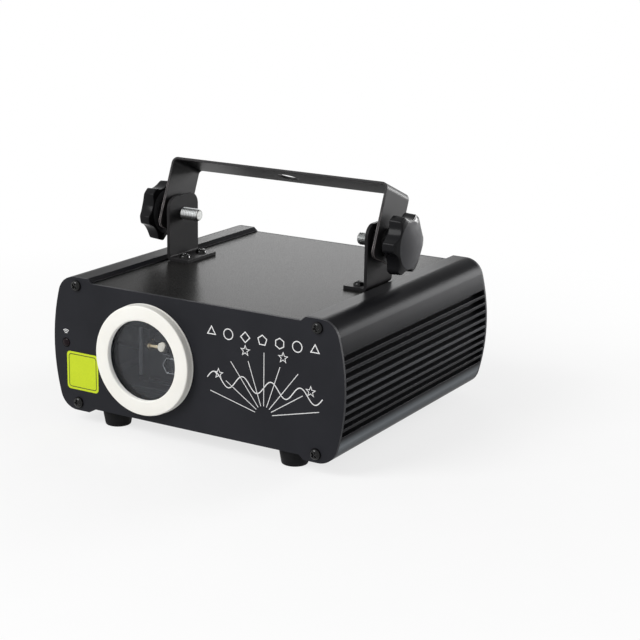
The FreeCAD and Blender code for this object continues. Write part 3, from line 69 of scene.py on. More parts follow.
# The floor: partly white near the object, where it takes the shadow, and plain white further out, in metres
FLOOR_SHADOW = 0.16
FLOOR_WHITE = 0.5
FLOOR_RADIUS = 8.0
FLOOR_WHITE_SHARE = 0.74

# Directions
LEFT = Vector((-1, 0, 0))
RIGHT = Vector((1, 0, 0))
FRONT = Vector((0, -1, 0))
BACK = Vector((0, 1, 0))
UP = Vector((0, 0, 1))
DOWN = Vector((0, 0, -1))

# A quarter turn, and the angles above which an edge is sharp, in degrees
QUARTER = 90
CREASE = 40
KNOB_CREASE = 60

# How finely round pieces are divided, and how near the points of one solid meet
TURNS = 96
FILLET_STEPS = 5
WIRE_TURNS = 16
WELD = 0.01 * MM

# The grain in the materials: its sizes and depths, how far it is drawn out, and how dark it gets
SPECK = 0.25 * MM
PEBBLE = 0.6 * MM
MOTTLE = 6 * MM
PATCH = 35 * MM
RELIEF = 0.03 * MM
FINE_RELIEF = 0.01 * MM
NOISE_DETAIL = 3.0
PLAIN_SHARES = (1.0, 1.0, 1.0)
STREAK_SHARES = (1.0, 0.015, 1.0)
DARK_SHARE = 0.7
HAZE_SHARE = 0.93

# Rounding of sharp edges, and the shares of facing between which an edge counts as worn
EDGE = 0.35 * MM
SOFT_EDGE = 0.7 * MM
STRAP_EDGE = MM
EDGE_SAMPLES = 6
EDGE_SHARES = (0.82, 0.98)

# Painted sheen on the extrusions: heights on the lower edge, heights and depths on the fins, and the bulge of
# the sides
LIP_SHEEN_BASE = 14 * MM
LIP_SHEEN_PEAK = 18.5 * MM
LIP_SHEEN_TOP = 23.5 * MM
FIN_SHEEN_MIDDLE = 48 * MM
FIN_SHEEN_REACH = 21 * MM
FIN_SHEEN_DEPTHS = (2 * MM, 0.4 * MM)
SIDE_RADIUS = 126 * MM

# Heights between which the painted edge highlight on the yoke's legs fades out
LEG_HIGHLIGHT_END = 125 * MM
BAR_START = 145 * MM

# Screws
HEAD_RADIUS = 3.5 * MM
HEAD_HEIGHT = 2.4 * MM
RECESS_REACH = 1.9 * MM
RECESS_WIDTH = 0.9 * MM
RECESS_DEPTH = 1.1 * MM
RECESS_BLUR = 0.18 * MM
HEAD_POWER = 3
HEAD_RINGS = 26
HEAD_TURNS = 72

# Lens ring: a foot on the panel, a wall, the face and the lip in front of the glass
RING_BORE = 24.5 * MM
RING_ROUND = 0.9 * MM
RING_FOOT = 0.7 * MM
RING_STEP = 0.25 * MM
RING_SINK = 0.05 * MM

# Behind the window: a bracket with a lens barrel in its notch and a nut on its front, and a rail beside it
BRACKET_LEFT = -45 * MM
BRACKET_RIGHT = -20 * MM
BRACKET_FRONT = -74 * MM
BRACKET_THICK = 2 * MM
BRACKET_TOP = 47.5 * MM
BRACKET_ROUND = 0.5 * MM
BRACKET_EDGE_STEPS = 2
SADDLE_RIGHT = -35 * MM
BARREL_START = -47 * MM
BARREL_RISE = 51.6 * MM
TUBE_RADIUS = 2.5 * MM
FLANGE_RADIUS = 3.8 * MM
FLANGE_SPAN = (2.4 * MM, 4 * MM)
BARREL_LENGTH = 12.7 * MM
BARREL_ROUND = 0.25 * MM
END_RING = 0.5 * MM
MIRROR_PLACE = Vector((-33.4, -75, 52.3)) * MM
MIRROR_AIM = Vector((0.64, -0.77, 0.0))
MIRROR_RADIUS = 3.4 * MM
MIRROR_THICK = 1.4 * MM
MIRROR_CROWN = 0.35 * MM
NUT_PLACE = (-27.1 * MM, 41.9 * MM)
NUT_SIDES = 6
NUT_RADIUS = 5.8 * MM
NUT_BORE = 4.9 * MM
NUT_HEIGHT = 3 * MM
NUT_BEVEL = 0.3 * MM
RAIL_SPAN = (-53.6 * MM, -51.4 * MM)
RAIL_TOP = 61.5 * MM

# Knobs and studs
LOBES = 6
NECK_RADIUS = 9.5 * MM
NECK_LENGTH = 4.7 * MM
KNOB_RADIUS = 19.3 * MM
SCALLOP_RADIUS = 11 * MM
SCALLOP_DEPTH = 3.8 * MM
SCALLOP_TURNS = {"left": 19, "right": 27}
LOBE_ROUND = 1.6 * MM
KNOB_DROP = 4.9 * MM
RIDGE_RADIUS = 14.2 * MM
RIDGE_DROP = 3.2 * MM
RIDGE_ROUND_SHARE = 0.03
KNOB_EDGE = 0.6 * MM
KNOB_DRAFT = 0.4 * MM
KNOB_TURNS = 240
FACE_SHARES = (0.35, 0.7)
THREAD_PITCH = 1.25 * MM
THREAD_DEPTH = 0.7 * MM
THREAD_STEPS = 10
THREAD_TURNS = 48
STUD_CHAMFER = 0.9 * MM

# Feet
FOOT_TOP_RADIUS = 9.6 * MM
FOOT_BASE_RADIUS = 7.8 * MM
FOOT_RECESS_RADIUS = 4.2 * MM
FOOT_RECESS_DEPTH = 4.4 * MM
FOOT_ROUND = 0.9 * MM

# Receiver
RECEIVER_RADIUS = 2.6 * MM
RECEIVER_DOME = 0.9 * MM

# Fan guard
WIRE_RADIUS = MM
GUARD_SPREAD = 16 * MM
GUARD_EYE = 2.6 * MM
GUARD_RINGS = (6 * MM, 12 * MM, 18 * MM)

# Print on the front panel: a fan of beams, stars on it, a wave across it and a row of shapes above
PRINT_LIFT = 0.05 * MM
LINE = 0.62 * MM
FINE_LINE = 0.45 * MM
LEAST_MITRE_SHARE = 0.4
BEAM_SOURCE = (50 * MM, 29 * MM)
BEAM_START = 6 * MM
BEAM_ENDS = (38 * MM, 31 * MM, 37 * MM, 33 * MM, 38 * MM, 33 * MM, 37 * MM, 31 * MM, 38 * MM)
BEAM_SPREAD = 152
WAVE_LEFT = 11 * MM
WAVE_LENGTH = 78 * MM
WAVE_HEIGHT = 46 * MM
WAVE_SWING = 4.2 * MM
WAVE_COUNT = 4
STAR_POINTS = 5
STAR_RADIUS = 3.1 * MM
STAR_INNER_SHARE = 0.42
SHAPE_LEFT = 14 * MM
SHAPE_PITCH = 11.6 * MM
SHAPE_HEIGHT = 74 * MM
SHAPE_RADIUS = 3.1 * MM
SHAPE_SIDES = (3, 48, 4, 5, 6, 48, 3)
SIGNAL_RADII = (1.3 * MM, 2.3 * MM, 3.3 * MM)
SIGNAL_RISE = 5 * MM
SIGNAL_SPREAD = 80

# Blank sticker
STICKER_CENTRE = (-81.5 * MM, 33 * MM)
STICKER_HALF = 12 * MM
STICKER_ROUND = 2.5 * MM
BORDER_INSET = 1.6 * MM

# Rims of the control connectors, and the frame of the display
RIM_RADII = {"data_in_connector": 10.3 * MM, "data_out_connector": 9.6 * MM}
RIM_WIDTH = MM
RIM_PROUD = 0.9 * MM
RIM_ROUND = 0.3 * MM
RIM_EDGE_STEPS = 3
LATCH_HALF = 3.2 * MM
LATCH_SPAN = (10.6 * MM, 13.4 * MM)
LATCH_PROUD = 1.4 * MM
BEZEL_WIDTH = 1.2 * MM
BEZEL_PROUD = 0.6 * MM
BEZEL_ROUND = 1.5 * MM

# Display segments, button marks and switch marks
DIGITS = 4
DIGIT_PITCH = 9.2 * MM
DIGIT_HALF = (2.6 * MM, 4.4 * MM)
SEGMENT_WIDTH = 1.1 * MM
SEGMENT_GAP = 0.35 * MM
MARK = 1.35 * MM
ARROW_SIDES = 3
SWITCH_MARK = 2 * MM
SWITCH_MARK_RISE = 4.4 * MM


# Mesh helpers

def placed(centre, axis):
    """A place whose +Z points along an axis."""
    return Matrix.Translation(centre) @ axis.to_track_quat("Z", "Y").to_matrix().to_4x4()


def skin(form, rings, closed=True):
    """Faces between neighbouring rows of points."""
    for near, far in zip(rings, rings[1:]):
        count = len(near)
        for index in range(count if closed else count - 1):
            after = (index + 1) % count
            form.faces.new((near[index], near[after], far[after], far[index]))


def cap(form, *rings):
    """Closes the ends of a skin."""
    for ring in rings:
        form.faces.new(ring)


def fillet(corners, radius):
    """A line through the corners with each inner corner rounded."""
    points = [Vector(corners[0])]
    for before, corner, after in zip(corners, corners[1:], corners[2:]):
        corner = Vector(corner)
        legs = [Vector(other) - corner for other in (before, after)]
        reach = min(radius, *(leg.length / 2 for leg in legs))
        start, end = (corner + leg.normalized() * reach for leg in legs)
        for step in range(FILLET_STEPS + 1):
            share = step / FILLET_STEPS
            points.append(start.lerp(corner, share).lerp(corner.lerp(end, share), share))
    points.append(Vector(corners[-1]))
    return points


def ring_of(form, place, turns, spot_of):
    """Points round the local Z axis of a place, from a function that gives reach and rise at an angle."""
    ring = []
    for turn in range(turns):
        angle = math.tau * turn / turns
        reach, rise = spot_of(angle)
        ring.append(form.verts.new(place @ Vector((reach * math.cos(angle), reach * math.sin(angle), rise))))
    return ring


def lathe(form, profile, place, turns=TURNS):
    """Turns (radius, rise) points round the local Z axis of a place."""
    rings = [ring_of(form, place, turns, lambda angle: spot) for spot in profile]
    skin(form, rings)
    return rings


def tube(form, path, radius, closed=False):
    """A round wire along a path."""
    count = len(path)
    rings = []
    side = None
    for index, point in enumerate(path):
        after = path[(index + 1) % count] if closed else path[min(index + 1, count - 1)]
        before = path[index - 1] if closed else path[max(index - 1, 0)]
        along = (after - before).normalized()
        side = along.orthogonal() if side is None else side
        side = (side - along * side.dot(along)).normalized()
        across = along.cross(side)
        ring = []
        for turn in range(WIRE_TURNS):
            angle = math.tau * turn / WIRE_TURNS
            ring.append(form.verts.new(point + radius * (math.cos(angle) * side + math.sin(angle) * across)))
        rings.append(ring)
    skin(form, rings + rings[:1] if closed else rings)
    if not closed:
        cap(form, rings[0], rings[-1])


def meshed(name, form, look):
    """A mesh of one material from a form, which is used up."""
    mesh = bpy.data.meshes.new(name)
    form.to_mesh(mesh)
    form.free()
    mesh.materials.append(look)
    return mesh


def shown(name, data):
    """A new object in the scene."""
    made = bpy.data.objects.new(name, data)
    bpy.context.scene.collection.objects.link(made)
    return made


def piece(name, form, slot, look=None, body="housing", stands_for=(), crease=CREASE):
    """A new object riding on a body, in its slot's own material where no other is named."""
    bmesh.ops.recalc_face_normals(form, faces=form.faces)
    mesh = meshed(name, form, look or LOOKS[slot])
    mesh.shade_smooth()
    mesh.set_sharp_from_angle(angle=math.radians(crease))
    made = shown(name, mesh)
    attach(made, body)
    if stands_for:
        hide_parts(*stands_for)


def solids(node):
    """The low and high corner of each solid of a CAD node, from left to right."""
    form = bmesh.new()
    form.from_mesh(frame["nodes"][node].data)
    bmesh.ops.remove_doubles(form, verts=form.verts, dist=WELD)
    left = set(form.verts)
    boxes = []
    while left:
        island = set()
        fresh = [left.pop()]
        while fresh:
            vert = fresh.pop()
            island.add(vert)
            near = {link.other_vert(vert) for link in vert.link_edges} & left
            left -= near
            fresh.extend(near)
        low = Vector(min(vert.co[axis] for vert in island) for axis in range(3))
        high = Vector(max(vert.co[axis] for vert in island) for axis in range(3))
        boxes.append((low, high))
    form.free()
    return sorted(boxes, key=lambda box: [round(value / MM) for value in box[0]])


def middle(box):
    return (box[0] + box[1]) / 2


def at_depth(box, depth):
    """The middle of a box, brought to a depth."""
    centre = middle(box)
    return Vector((centre.x, depth, centre.z))


# Materials

class Tree:
    """The shader nodes of a material or of the surroundings."""

    def __init__(self, owner):
        owner.use_nodes = True
        self.nodes = owner.node_tree.nodes
        self.links = owner.node_tree.links

    def feed(self, socket, value):
        """Links a value that comes from a node, or sets one that is the same all over."""
        if isinstance(value, bpy.types.NodeSocket):
            self.links.new(value, socket)
        else:
            socket.default_value = value

    def node(self, kind, **values):
        made = self.nodes.new(kind)
        for name, value in values.items():
            self.feed(made.inputs[name], value)
        return made

    def worked_out(self, kind, operation, *values):
        made = self.nodes.new(kind)
        made.operation = operation
        for socket, value in zip(made.inputs, values):
            self.feed(socket, value)
        return made.outputs["Value"]

    def math(self, operation, *values):
        return self.worked_out("ShaderNodeMath", operation, *values)

    def vector(self, operation, *values):
        """A number worked out from vectors, such as a length."""
        return self.worked_out("ShaderNodeVectorMath", operation, *values)

    def levels(self, factor, low, high, start=0.3, stop=0.7):
        """Takes start to low and stop to high."""
        limits = {"From Min": start, "From Max": stop, "To Min": low, "To Max": high}
        return self.node("ShaderNodeMapRange", Value=factor, **limits).outputs["Result"]

    def seen_directly(self):
        """1 where a ray comes from the camera, a reflection or through glass, and 0 elsewhere."""
        path = self.node("ShaderNodeLightPath").outputs
        seen = path["Is Camera Ray"]
        for output in ("Is Glossy Ray", "Is Transmission Ray"):
            seen = self.math("MAXIMUM", seen, path[output])
        return seen


class Look(Tree):
    """A material whose colour, roughness and relief come from noise in the object's own space."""

    def __init__(self, name, metallic=0.0, specular=0.5):
        self.material = bpy.data.materials.new(name)
        super().__init__(self.material)
        self.shader = self.nodes["Principled BSDF"]
        self.shader.inputs["Metallic"].default_value = metallic
        self.shader.inputs["Specular IOR Level"].default_value = specular
        self.space = self.node("ShaderNodeTexCoord").outputs["Object"]
        self.normal = None

    def noise(self, size, shares=PLAIN_SHARES):
        """Noise whose features are about one size, drawn out along an axis by shares below one."""
        scaled = self.node("ShaderNodeMapping", Vector=self.space, Scale=shares).outputs["Vector"]
        grain = self.node("ShaderNodeTexNoise", Vector=scaled, Scale=1 / size, Detail=NOISE_DETAIL)
        return grain.outputs["Fac"]

    def ramp(self, factor, dark, light, spread=(0.3, 0.7)):
        made = self.node("ShaderNodeValToRGB", Fac=factor)
        for stop, place, shade in zip(made.color_ramp.elements, spread, (dark, light)):
            stop.position = place
            stop.color = (*shade, 1)
        return made.outputs["Color"]

    def blend(self, factor, below, above):
        """An even colour over a varied one where the factor is high."""
        made = self.nodes.new("ShaderNodeMix")
        made.data_type = "RGBA"
        sockets = [socket for socket in made.inputs if socket.enabled]
        for socket, value in zip(sockets, (factor, below, (*above, 1))):
            self.feed(socket, value)
        return next(socket for socket in made.outputs if socket.enabled)

    def layer(self, factor, below, above):
        """Shows one shader over another where the factor is high."""
        mix = self.node("ShaderNodeMixShader", Fac=factor)
        self.links.new(below, mix.inputs[1])
        self.links.new(above, mix.inputs[2])
        self.links.new(mix.outputs["Shader"], self.nodes["Material Output"].inputs["Surface"])

    def colour(self, source):
        self.links.new(source, self.shader.inputs["Base Color"])

    def rounded(self, radius):
        """Shades sharp edges as if they were rounded, and returns where those edges are."""
        made = self.node("ShaderNodeBevel", Radius=radius)
        made.samples = EDGE_SAMPLES
        self.normal = made.outputs["Normal"]
        flat = self.node("ShaderNodeNewGeometry").outputs["Normal"]
        return self.levels(self.vector("DOT_PRODUCT", self.normal, flat), 1.0, 0.0, *EDGE_SHARES)

    def finish(self, colour, rough, height, depth=FINE_RELIEF):
        """Joins colour, roughness and relief to the shader, and gives the material."""
        self.colour(colour)
        self.links.new(rough, self.shader.inputs["Roughness"])
        bump = self.node("ShaderNodeBump", Height=height, Distance=depth, Strength=1.0)
        if self.normal is not None:
            self.links.new(self.normal, bump.inputs["Normal"])
        self.links.new(bump.outputs["Normal"], self.shader.inputs["Normal"])
        return self.material


def coated(name, dark, light, worn, rough, specular, grain=SPECK, shares=PLAIN_SHARES, edge=EDGE):
    """A coat on metal: mottled shade, fine grain, and paler worn edges."""
    look = Look(name, specular=specular)
    edges = look.rounded(edge)
    shade = look.ramp(look.noise(PATCH), dark, light)
    look.rubbed = look.math("MULTIPLY", edges, look.levels(look.noise(MOTTLE), 0.15, 1.0))
    look.shade = look.blend(look.rubbed, shade, worn)
    look.finish(look.shade, look.levels(look.noise(grain, shares), *rough), look.noise(grain, shares))
    return look


def panel_coat():
    return coated("panel_charcoal", (0.0115, 0.012, 0.015), (0.0165, 0.017, 0.021), (0.045, 0.045, 0.05),
                  rough=(0.48, 0.62), specular=0.13).material


def cover_coat():
    return coated("cover_black", (0.012, 0.012, 0.012), (0.018, 0.0175, 0.017), (0.12, 0.12, 0.12),
                  rough=(0.24, 0.32), specular=0.012, grain=PEBBLE).material


def machined_black():
    return coated("machined_aluminium", (0.010, 0.010, 0.011), (0.016, 0.016, 0.017), (0.45, 0.46, 0.48),
                  rough=(0.30, 0.45), specular=0.3, shares=STREAK_SHARES).material


def fin_tops(look, place):
    """1 on the outermost faces of the bulging sides, and 0 down in their grooves."""
    low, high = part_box("right_side_extrusion")
    rise = look.math("SUBTRACT", place["Z"], (low.z + high.z) / 2)
    bulge = look.math("DIVIDE", look.math("MULTIPLY", rise, rise), SIDE_RADIUS * 2)
    reach = look.math("ADD", look.math("ABSOLUTE", place["X"]), bulge)
    inner, outer = (high.x - depth for depth in FIN_SHEEN_DEPTHS)
    return look.levels(reach, 0.0, 1.0, start=inner, stop=outer)


def drawn_black():
    """Anodised and drawn along its length, with a paler painted sheen on the lower edge and on the outermost
    fins.
    """
    look = coated("extrusion_black", (0.006, 0.006, 0.007), (0.010, 0.010, 0.0115), (0.05, 0.05, 0.055),
                  rough=(0.28, 0.34), specular=0.018, shares=STREAK_SHARES, edge=SOFT_EDGE)
    look.shader.inputs["Specular Tint"].default_value = (0.90, 0.92, 1.0, 1)
    place = look.node("ShaderNodeSeparateXYZ", Vector=look.space).outputs
    # A pale bluish band painted along the lower edge is a painted sheen.
    above = look.levels(place["Z"], 1.0, 0.0, start=LIP_SHEEN_PEAK, stop=LIP_SHEEN_TOP)
    below = look.levels(place["Z"], 0.3, 1.0, start=LIP_SHEEN_BASE, stop=LIP_SHEEN_PEAK)
    sheen_streaks = look.levels(look.noise(MOTTLE, STREAK_SHARES), 0.75, 1.0)
    lip_sheen = look.math("MULTIPLY", look.math("MULTIPLY", above, below), sheen_streaks)
    # Paler colour painted on the outermost fins around mid-height is a painted sheen.
    off_middle = look.math("ABSOLUTE", look.math("SUBTRACT", place["Z"], FIN_SHEEN_MIDDLE))
    near_middle = look.levels(off_middle, 1.0, 0.0, start=0.0, stop=FIN_SHEEN_REACH)
    fins = look.math("MULTIPLY", look.math("MULTIPLY", near_middle, fin_tops(look, place)), sheen_streaks)
    shade = look.blend(fins, look.shade, (0.060, 0.062, 0.067))
    look.colour(look.blend(lip_sheen, shade, (0.148, 0.162, 0.175)))
    return look.material


def bracket_coat(name, specular, edge):
    """Fine textured paint, a little paler on its edges."""
    return coated(name, (0.016, 0.016, 0.017), (0.024, 0.023, 0.024), (0.06, 0.058, 0.058),
                  rough=(0.38, 0.46), specular=specular, grain=PEBBLE, edge=edge)


def yoke_coat():
    """The same paint, with pale lines painted along the edges of the legs as edge highlights."""
    look = bracket_coat("yoke_paint", specular=0.12, edge=STRAP_EDGE)
    height = look.node("ShaderNodeSeparateXYZ", Vector=look.space).outputs["Z"]
    legs = look.levels(height, 1.0, 0.1, start=LEG_HIGHLIGHT_END, stop=BAR_START)
    # Pale lines painted along the edges of the legs are painted edge highlights.
    look.colour(look.blend(look.math("MULTIPLY", look.rubbed, legs), look.shade, (0.50, 0.44, 0.44)))
    return look.material


def dark_metal(name, shade, rough, specular):
    """Blackened steel with a little bare metal on its edges."""
    look = Look(name, specular=specular)
    edges = look.math("MULTIPLY", look.rounded(EDGE), look.noise(PEBBLE))
    base = look.ramp(look.noise(MOTTLE), tuple(value * DARK_SHARE for value in shade), shade)
    colour = look.blend(edges, base, (0.12, 0.12, 0.12))
    return look.finish(colour, look.levels(look.noise(PEBBLE), *rough), look.noise(SPECK))


def bright_metal(name, dark, light, rough):
    """Bare or plated metal with tool marks."""
    look = Look(name, metallic=1.0)
    look.rounded(EDGE)
    colour = look.ramp(look.noise(MOTTLE), dark, light)
    return look.finish(colour, look.levels(look.noise(SPECK), *rough), look.noise(SPECK))


def stud_reach(look):
    """The distance from the line through both studs."""
    axis = middle(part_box("left_stud"))
    shift = (0, -axis.y, -axis.z)
    offset = look.node("ShaderNodeMapping", Vector=look.space, Location=shift, Scale=(0, 1, 1))
    return look.vector("LENGTH", offset.outputs["Vector"])


def thread_steel():
    """Plated thread, with shade painted darker into its roots."""
    look = Look("thread_steel", metallic=1.0)
    low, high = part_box("left_stud")
    radius = (high.y - low.y) / 2
    reach = stud_reach(look)
    crest = look.levels(reach, 0.0, 1.0, start=radius - THREAD_DEPTH, stop=radius)
    face = look.levels(reach, 0.14, 0.0, start=radius - STUD_CHAMFER * 2, stop=radius - STUD_CHAMFER)
    outside_root_shade = look.math("MAXIMUM", crest, face)
    # The dark colour in the thread's roots is painted shade.
    colour = look.ramp(outside_root_shade, (0.22, 0.22, 0.21), (0.76, 0.78, 0.78), spread=(0.0, 0.5))
    return look.finish(colour, look.levels(look.noise(SPECK), 0.30, 0.42), look.noise(SPECK))


def moulded(name, dark, light, rough, depth=FINE_RELIEF, specular=0.5):
    """Moulded plastic or rubber."""
    look = Look(name, specular=specular)
    look.rounded(EDGE)
    colour = look.ramp(look.noise(PATCH), dark, light)
    return look.finish(colour, look.levels(look.noise(MOTTLE), *rough), look.noise(PEBBLE), depth)


def knob_plastic():
    """Black moulding, polished outside, with a finely textured face inside its ridge that is painted paler as
    a sheen.
    """
    look = Look("knob_plastic", specular=0.08)
    look.rounded(EDGE)
    normal = look.node("ShaderNodeNewGeometry").outputs["Normal"]
    along = look.node("ShaderNodeSeparateXYZ", Vector=normal).outputs["X"]
    across = look.levels(look.math("MULTIPLY", along, along), 0.0, 1.0, *FACE_SHARES)
    inside = look.levels(stud_reach(look), 1.0, 0.0, start=RIDGE_RADIUS - EDGE, stop=RIDGE_RADIUS + EDGE)
    face = look.math("MULTIPLY", across, inside)
    flank = look.ramp(look.noise(PATCH), (0.007, 0.007, 0.008), (0.011, 0.011, 0.012))
    # The paler colour of the face is a painted sheen.
    colour = look.blend(face, flank, (0.063, 0.063, 0.067))
    matt = look.levels(face, 0.2, 0.64, start=0.0, stop=1.0)
    rough = look.math("MULTIPLY", matt, look.levels(look.noise(MOTTLE), 0.9, 1.1))
    return look.finish(colour, rough, look.noise(PEBBLE))


def ring_white():
    """White moulding, faintly see-through at its edges."""
    look = Look("ring_white", specular=0.4)
    look.rounded(EDGE)
    look.shader.inputs["Subsurface Weight"].default_value = 0.12
    look.shader.inputs["Subsurface Scale"].default_value = MM
    look.shader.inputs["Subsurface Radius"].default_value = (1.0, 0.95, 0.85)
    colour = look.ramp(look.noise(PATCH), (0.87, 0.855, 0.80), (0.91, 0.90, 0.85))
    return look.finish(colour, look.levels(look.noise(MOTTLE), 0.36, 0.48), look.noise(SPECK))


def clear_sheet(name, tint, ior=1.5):
    """Clear glass or acrylic: what is behind shows through its tint, with a plain reflection on top."""
    look = Look(name)
    look.nodes.remove(look.shader)
    haze = look.ramp(look.noise(MOTTLE), tuple(value * HAZE_SHARE for value in tint), tint)
    through = look.node("ShaderNodeBsdfTransparent", Color=haze)
    smudge = look.levels(look.noise(PATCH), 0.01, 0.06)
    gloss = look.node("ShaderNodeBsdfGlossy", Roughness=smudge, Color=(0.93, 0.95, 1.0, 1))
    share = look.node("ShaderNodeFresnel", IOR=ior).outputs["Fac"]
    look.layer(share, through.outputs["BSDF"], gloss.outputs["BSDF"])
    return look.material


def board_green():
    """Solder mask with pale tracks under it."""
    look = Look("board_green")
    tracks = look.node("ShaderNodeTexBrick", Vector=look.space, Scale=1 / PATCH, Color1=(0.02, 0.12, 0.05, 1),
                       Color2=(0.03, 0.16, 0.06, 1), Mortar=(0.08, 0.30, 0.12, 1)).outputs
    return look.finish(tracks["Color"], look.levels(look.noise(MOTTLE), 0.25, 0.40), tracks["Fac"], RELIEF)


def printed(name, dark, light):
    """Screen ink: a slightly uneven, matt film."""
    look = Look(name, specular=0.3)
    colour = look.ramp(look.noise(PEBBLE), dark, light)
    return look.finish(colour, look.levels(look.noise(PEBBLE), 0.5, 0.7), look.noise(SPECK))


def mirror_coat(name, dark, light):
    look = Look(name, metallic=1.0)
    colour = look.ramp(look.noise(MOTTLE), dark, light)
    return look.finish(colour, look.levels(look.noise(PATCH), 0.02, 0.07), look.noise(PATCH))


LOOKS = {
    "extrusion_black": drawn_black(),
    "panel_charcoal": panel_coat(),
    "cover_black": cover_coat(),
    "bracket_paint": bracket_coat("bracket_paint", specular=0.05, edge=EDGE).material,
    "yoke_paint": yoke_coat(),
    "screw_black": dark_metal("screw_black", (0.004, 0.004, 0.004), rough=(0.06, 0.10), specular=0.26),
    "zinc_steel": bright_metal("zinc_steel", (0.40, 0.42, 0.42), (0.56, 0.57, 0.56), rough=(0.18, 0.32)),
    "thread_steel": thread_steel(),
    "washer_black": dark_metal("washer_black", (0.020, 0.020, 0.020), rough=(0.35, 0.5), specular=0.3),
    "foot_rubber": moulded("foot_rubber", (0.006, 0.006, 0.0065), (0.010, 0.010, 0.011), rough=(0.55, 0.75),
                           depth=RELIEF, specular=0.10),
    "knob_plastic": knob_plastic(),
    "ring_white": ring_white(),
    "window_clear": clear_sheet("window_clear", (0.94, 0.95, 0.965), ior=1.31),
    "display_smoke": clear_sheet("display_smoke", (0.30, 0.06, 0.06)),
    "dark_lens": moulded("dark_lens", (0.005, 0.002, 0.003), (0.010, 0.004, 0.006), rough=(0.05, 0.12),
                         specular=0.12),
    "fitting_plastic": moulded("fitting_plastic", (0.014, 0.014, 0.015), (0.022, 0.022, 0.023),
                               rough=(0.40, 0.55)),
    "rocker_black": moulded("rocker_black", (0.012, 0.012, 0.012), (0.018, 0.018, 0.018), rough=(0.22, 0.35)),
    "button_grey": moulded("button_grey", (0.19, 0.19, 0.20), (0.25, 0.25, 0.26), rough=(0.45, 0.60)),
    "contact_metal": bright_metal("contact_metal", (0.66, 0.58, 0.40), (0.80, 0.72, 0.52), rough=(0.2, 0.35)),
    "digit_red": moulded("digit_red", (0.030, 0.012, 0.012), (0.045, 0.018, 0.018), rough=(0.45, 0.6)),
    "board_green": board_green(),
    "machined_aluminium": machined_black(),
    "motor_steel": bright_metal("motor_steel", (0.36, 0.36, 0.37), (0.46, 0.46, 0.47), rough=(0.25, 0.4)),
    "laser_brass": bright_metal("laser_brass", (0.68, 0.54, 0.32), (0.84, 0.72, 0.50), rough=(0.12, 0.22)),
    "mirror_coat": mirror_coat("mirror_coat", (0.84, 0.86, 0.90), (0.92, 0.93, 0.95)),
}
WARM_MIRROR = mirror_coat("warm_mirror", (0.88, 0.82, 0.68), (0.95, 0.90, 0.78))
RAIL_SATIN = moulded("rail_satin", (0.20, 0.205, 0.21), (0.27, 0.275, 0.285), rough=(0.35, 0.5))
WHITE_INK = printed("white_ink", (0.72, 0.72, 0.72), (0.82, 0.82, 0.82))
STICKER_FILM = printed("sticker_film", (0.50, 0.62, 0.01), (0.58, 0.69, 0.02))
DARK_INK = printed("dark_ink", (0.010, 0.012, 0.008), (0.018, 0.020, 0.014))
UNLIT_SEGMENT = printed("unlit_segment", (0.30, 0.10, 0.09), (0.38, 0.13, 0.12))


def dress_nodes():
    """Every CAD node takes the material of its slot in the record."""
    for part in frame["record"]["subparts"]:
        slots = frame["nodes"][part["node"]].data.materials
        slots.clear()
        slots.append(LOOKS[part["material_slot"]])
    for node, look in (("display_window", "display_smoke"), ("yoke", "yoke_paint")):
        frame["nodes"][node].data.materials[0] = LOOKS[look]


# Pieces

def lens_ring():
    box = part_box("lens_ring")
    outer = (box[1].x - box[0].x) / 2
    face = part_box("front_panel")[0].y
    proud = face - box[0].y
    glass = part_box("window_glass")
    seat = (glass[1].x - glass[0].x) / 2
    lip = face - glass[0].y
    wall = outer - RING_STEP
    corners = [(outer, -RING_SINK), (outer, RING_FOOT), (wall, RING_FOOT), (wall, proud), (RING_BORE, proud),
               (RING_BORE, lip), (seat, lip)]
    form = bmesh.new()
    lathe(form, fillet(corners, RING_ROUND), placed(at_depth(box, face), FRONT), turns=TURNS * 2)
    piece("lens_ring_moulding", form, "ring_white", stands_for=["lens_ring"])


def bar(form, outline, back, thick, edge, steps):
    """An upright plate with softened edges, from an outline of (across, up) corners."""
    rows = [[form.verts.new((across, depth, up)) for across, up in outline] for depth in (back - thick, back)]
    skin(form, rows)
    cap(form, *rows)
    bmesh.ops.bevel(form, geom=form.edges, offset=edge, segments=steps, profile=0.5, affect="EDGES")


def oblong(left, right, lower, upper):
    return [(left, lower), (right, lower), (right, upper), (left, upper)]


def window_bracket():
    """A plate that stands on the optics base behind the window and carries the barrel in a notch."""
    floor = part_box("optics_base")[1].z
    saddle = BARREL_RISE - TUBE_RADIUS / 2
    outline = [(BRACKET_LEFT, floor), (BRACKET_RIGHT, floor), (BRACKET_RIGHT, BRACKET_TOP),
               (SADDLE_RIGHT, BRACKET_TOP), (SADDLE_RIGHT, saddle), (BRACKET_LEFT, saddle)]
    form = bmesh.new()
    bar(form, outline, BRACKET_FRONT + BRACKET_THICK, BRACKET_THICK, BRACKET_ROUND, BRACKET_EDGE_STEPS)
    piece("window_bracket", form, "machined_aluminium")


def window_rail():
    """A satin rail that stands on the optics base against the front of the scanner block."""
    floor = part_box("optics_base")[1].z
    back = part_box("scanner_block")[0].y
    form = bmesh.new()
    bar(form, oblong(*RAIL_SPAN, floor, RAIL_TOP), back, BRACKET_THICK, BRACKET_ROUND, BRACKET_EDGE_STEPS)
    piece("window_rail", form, "machined_aluminium", RAIL_SATIN)


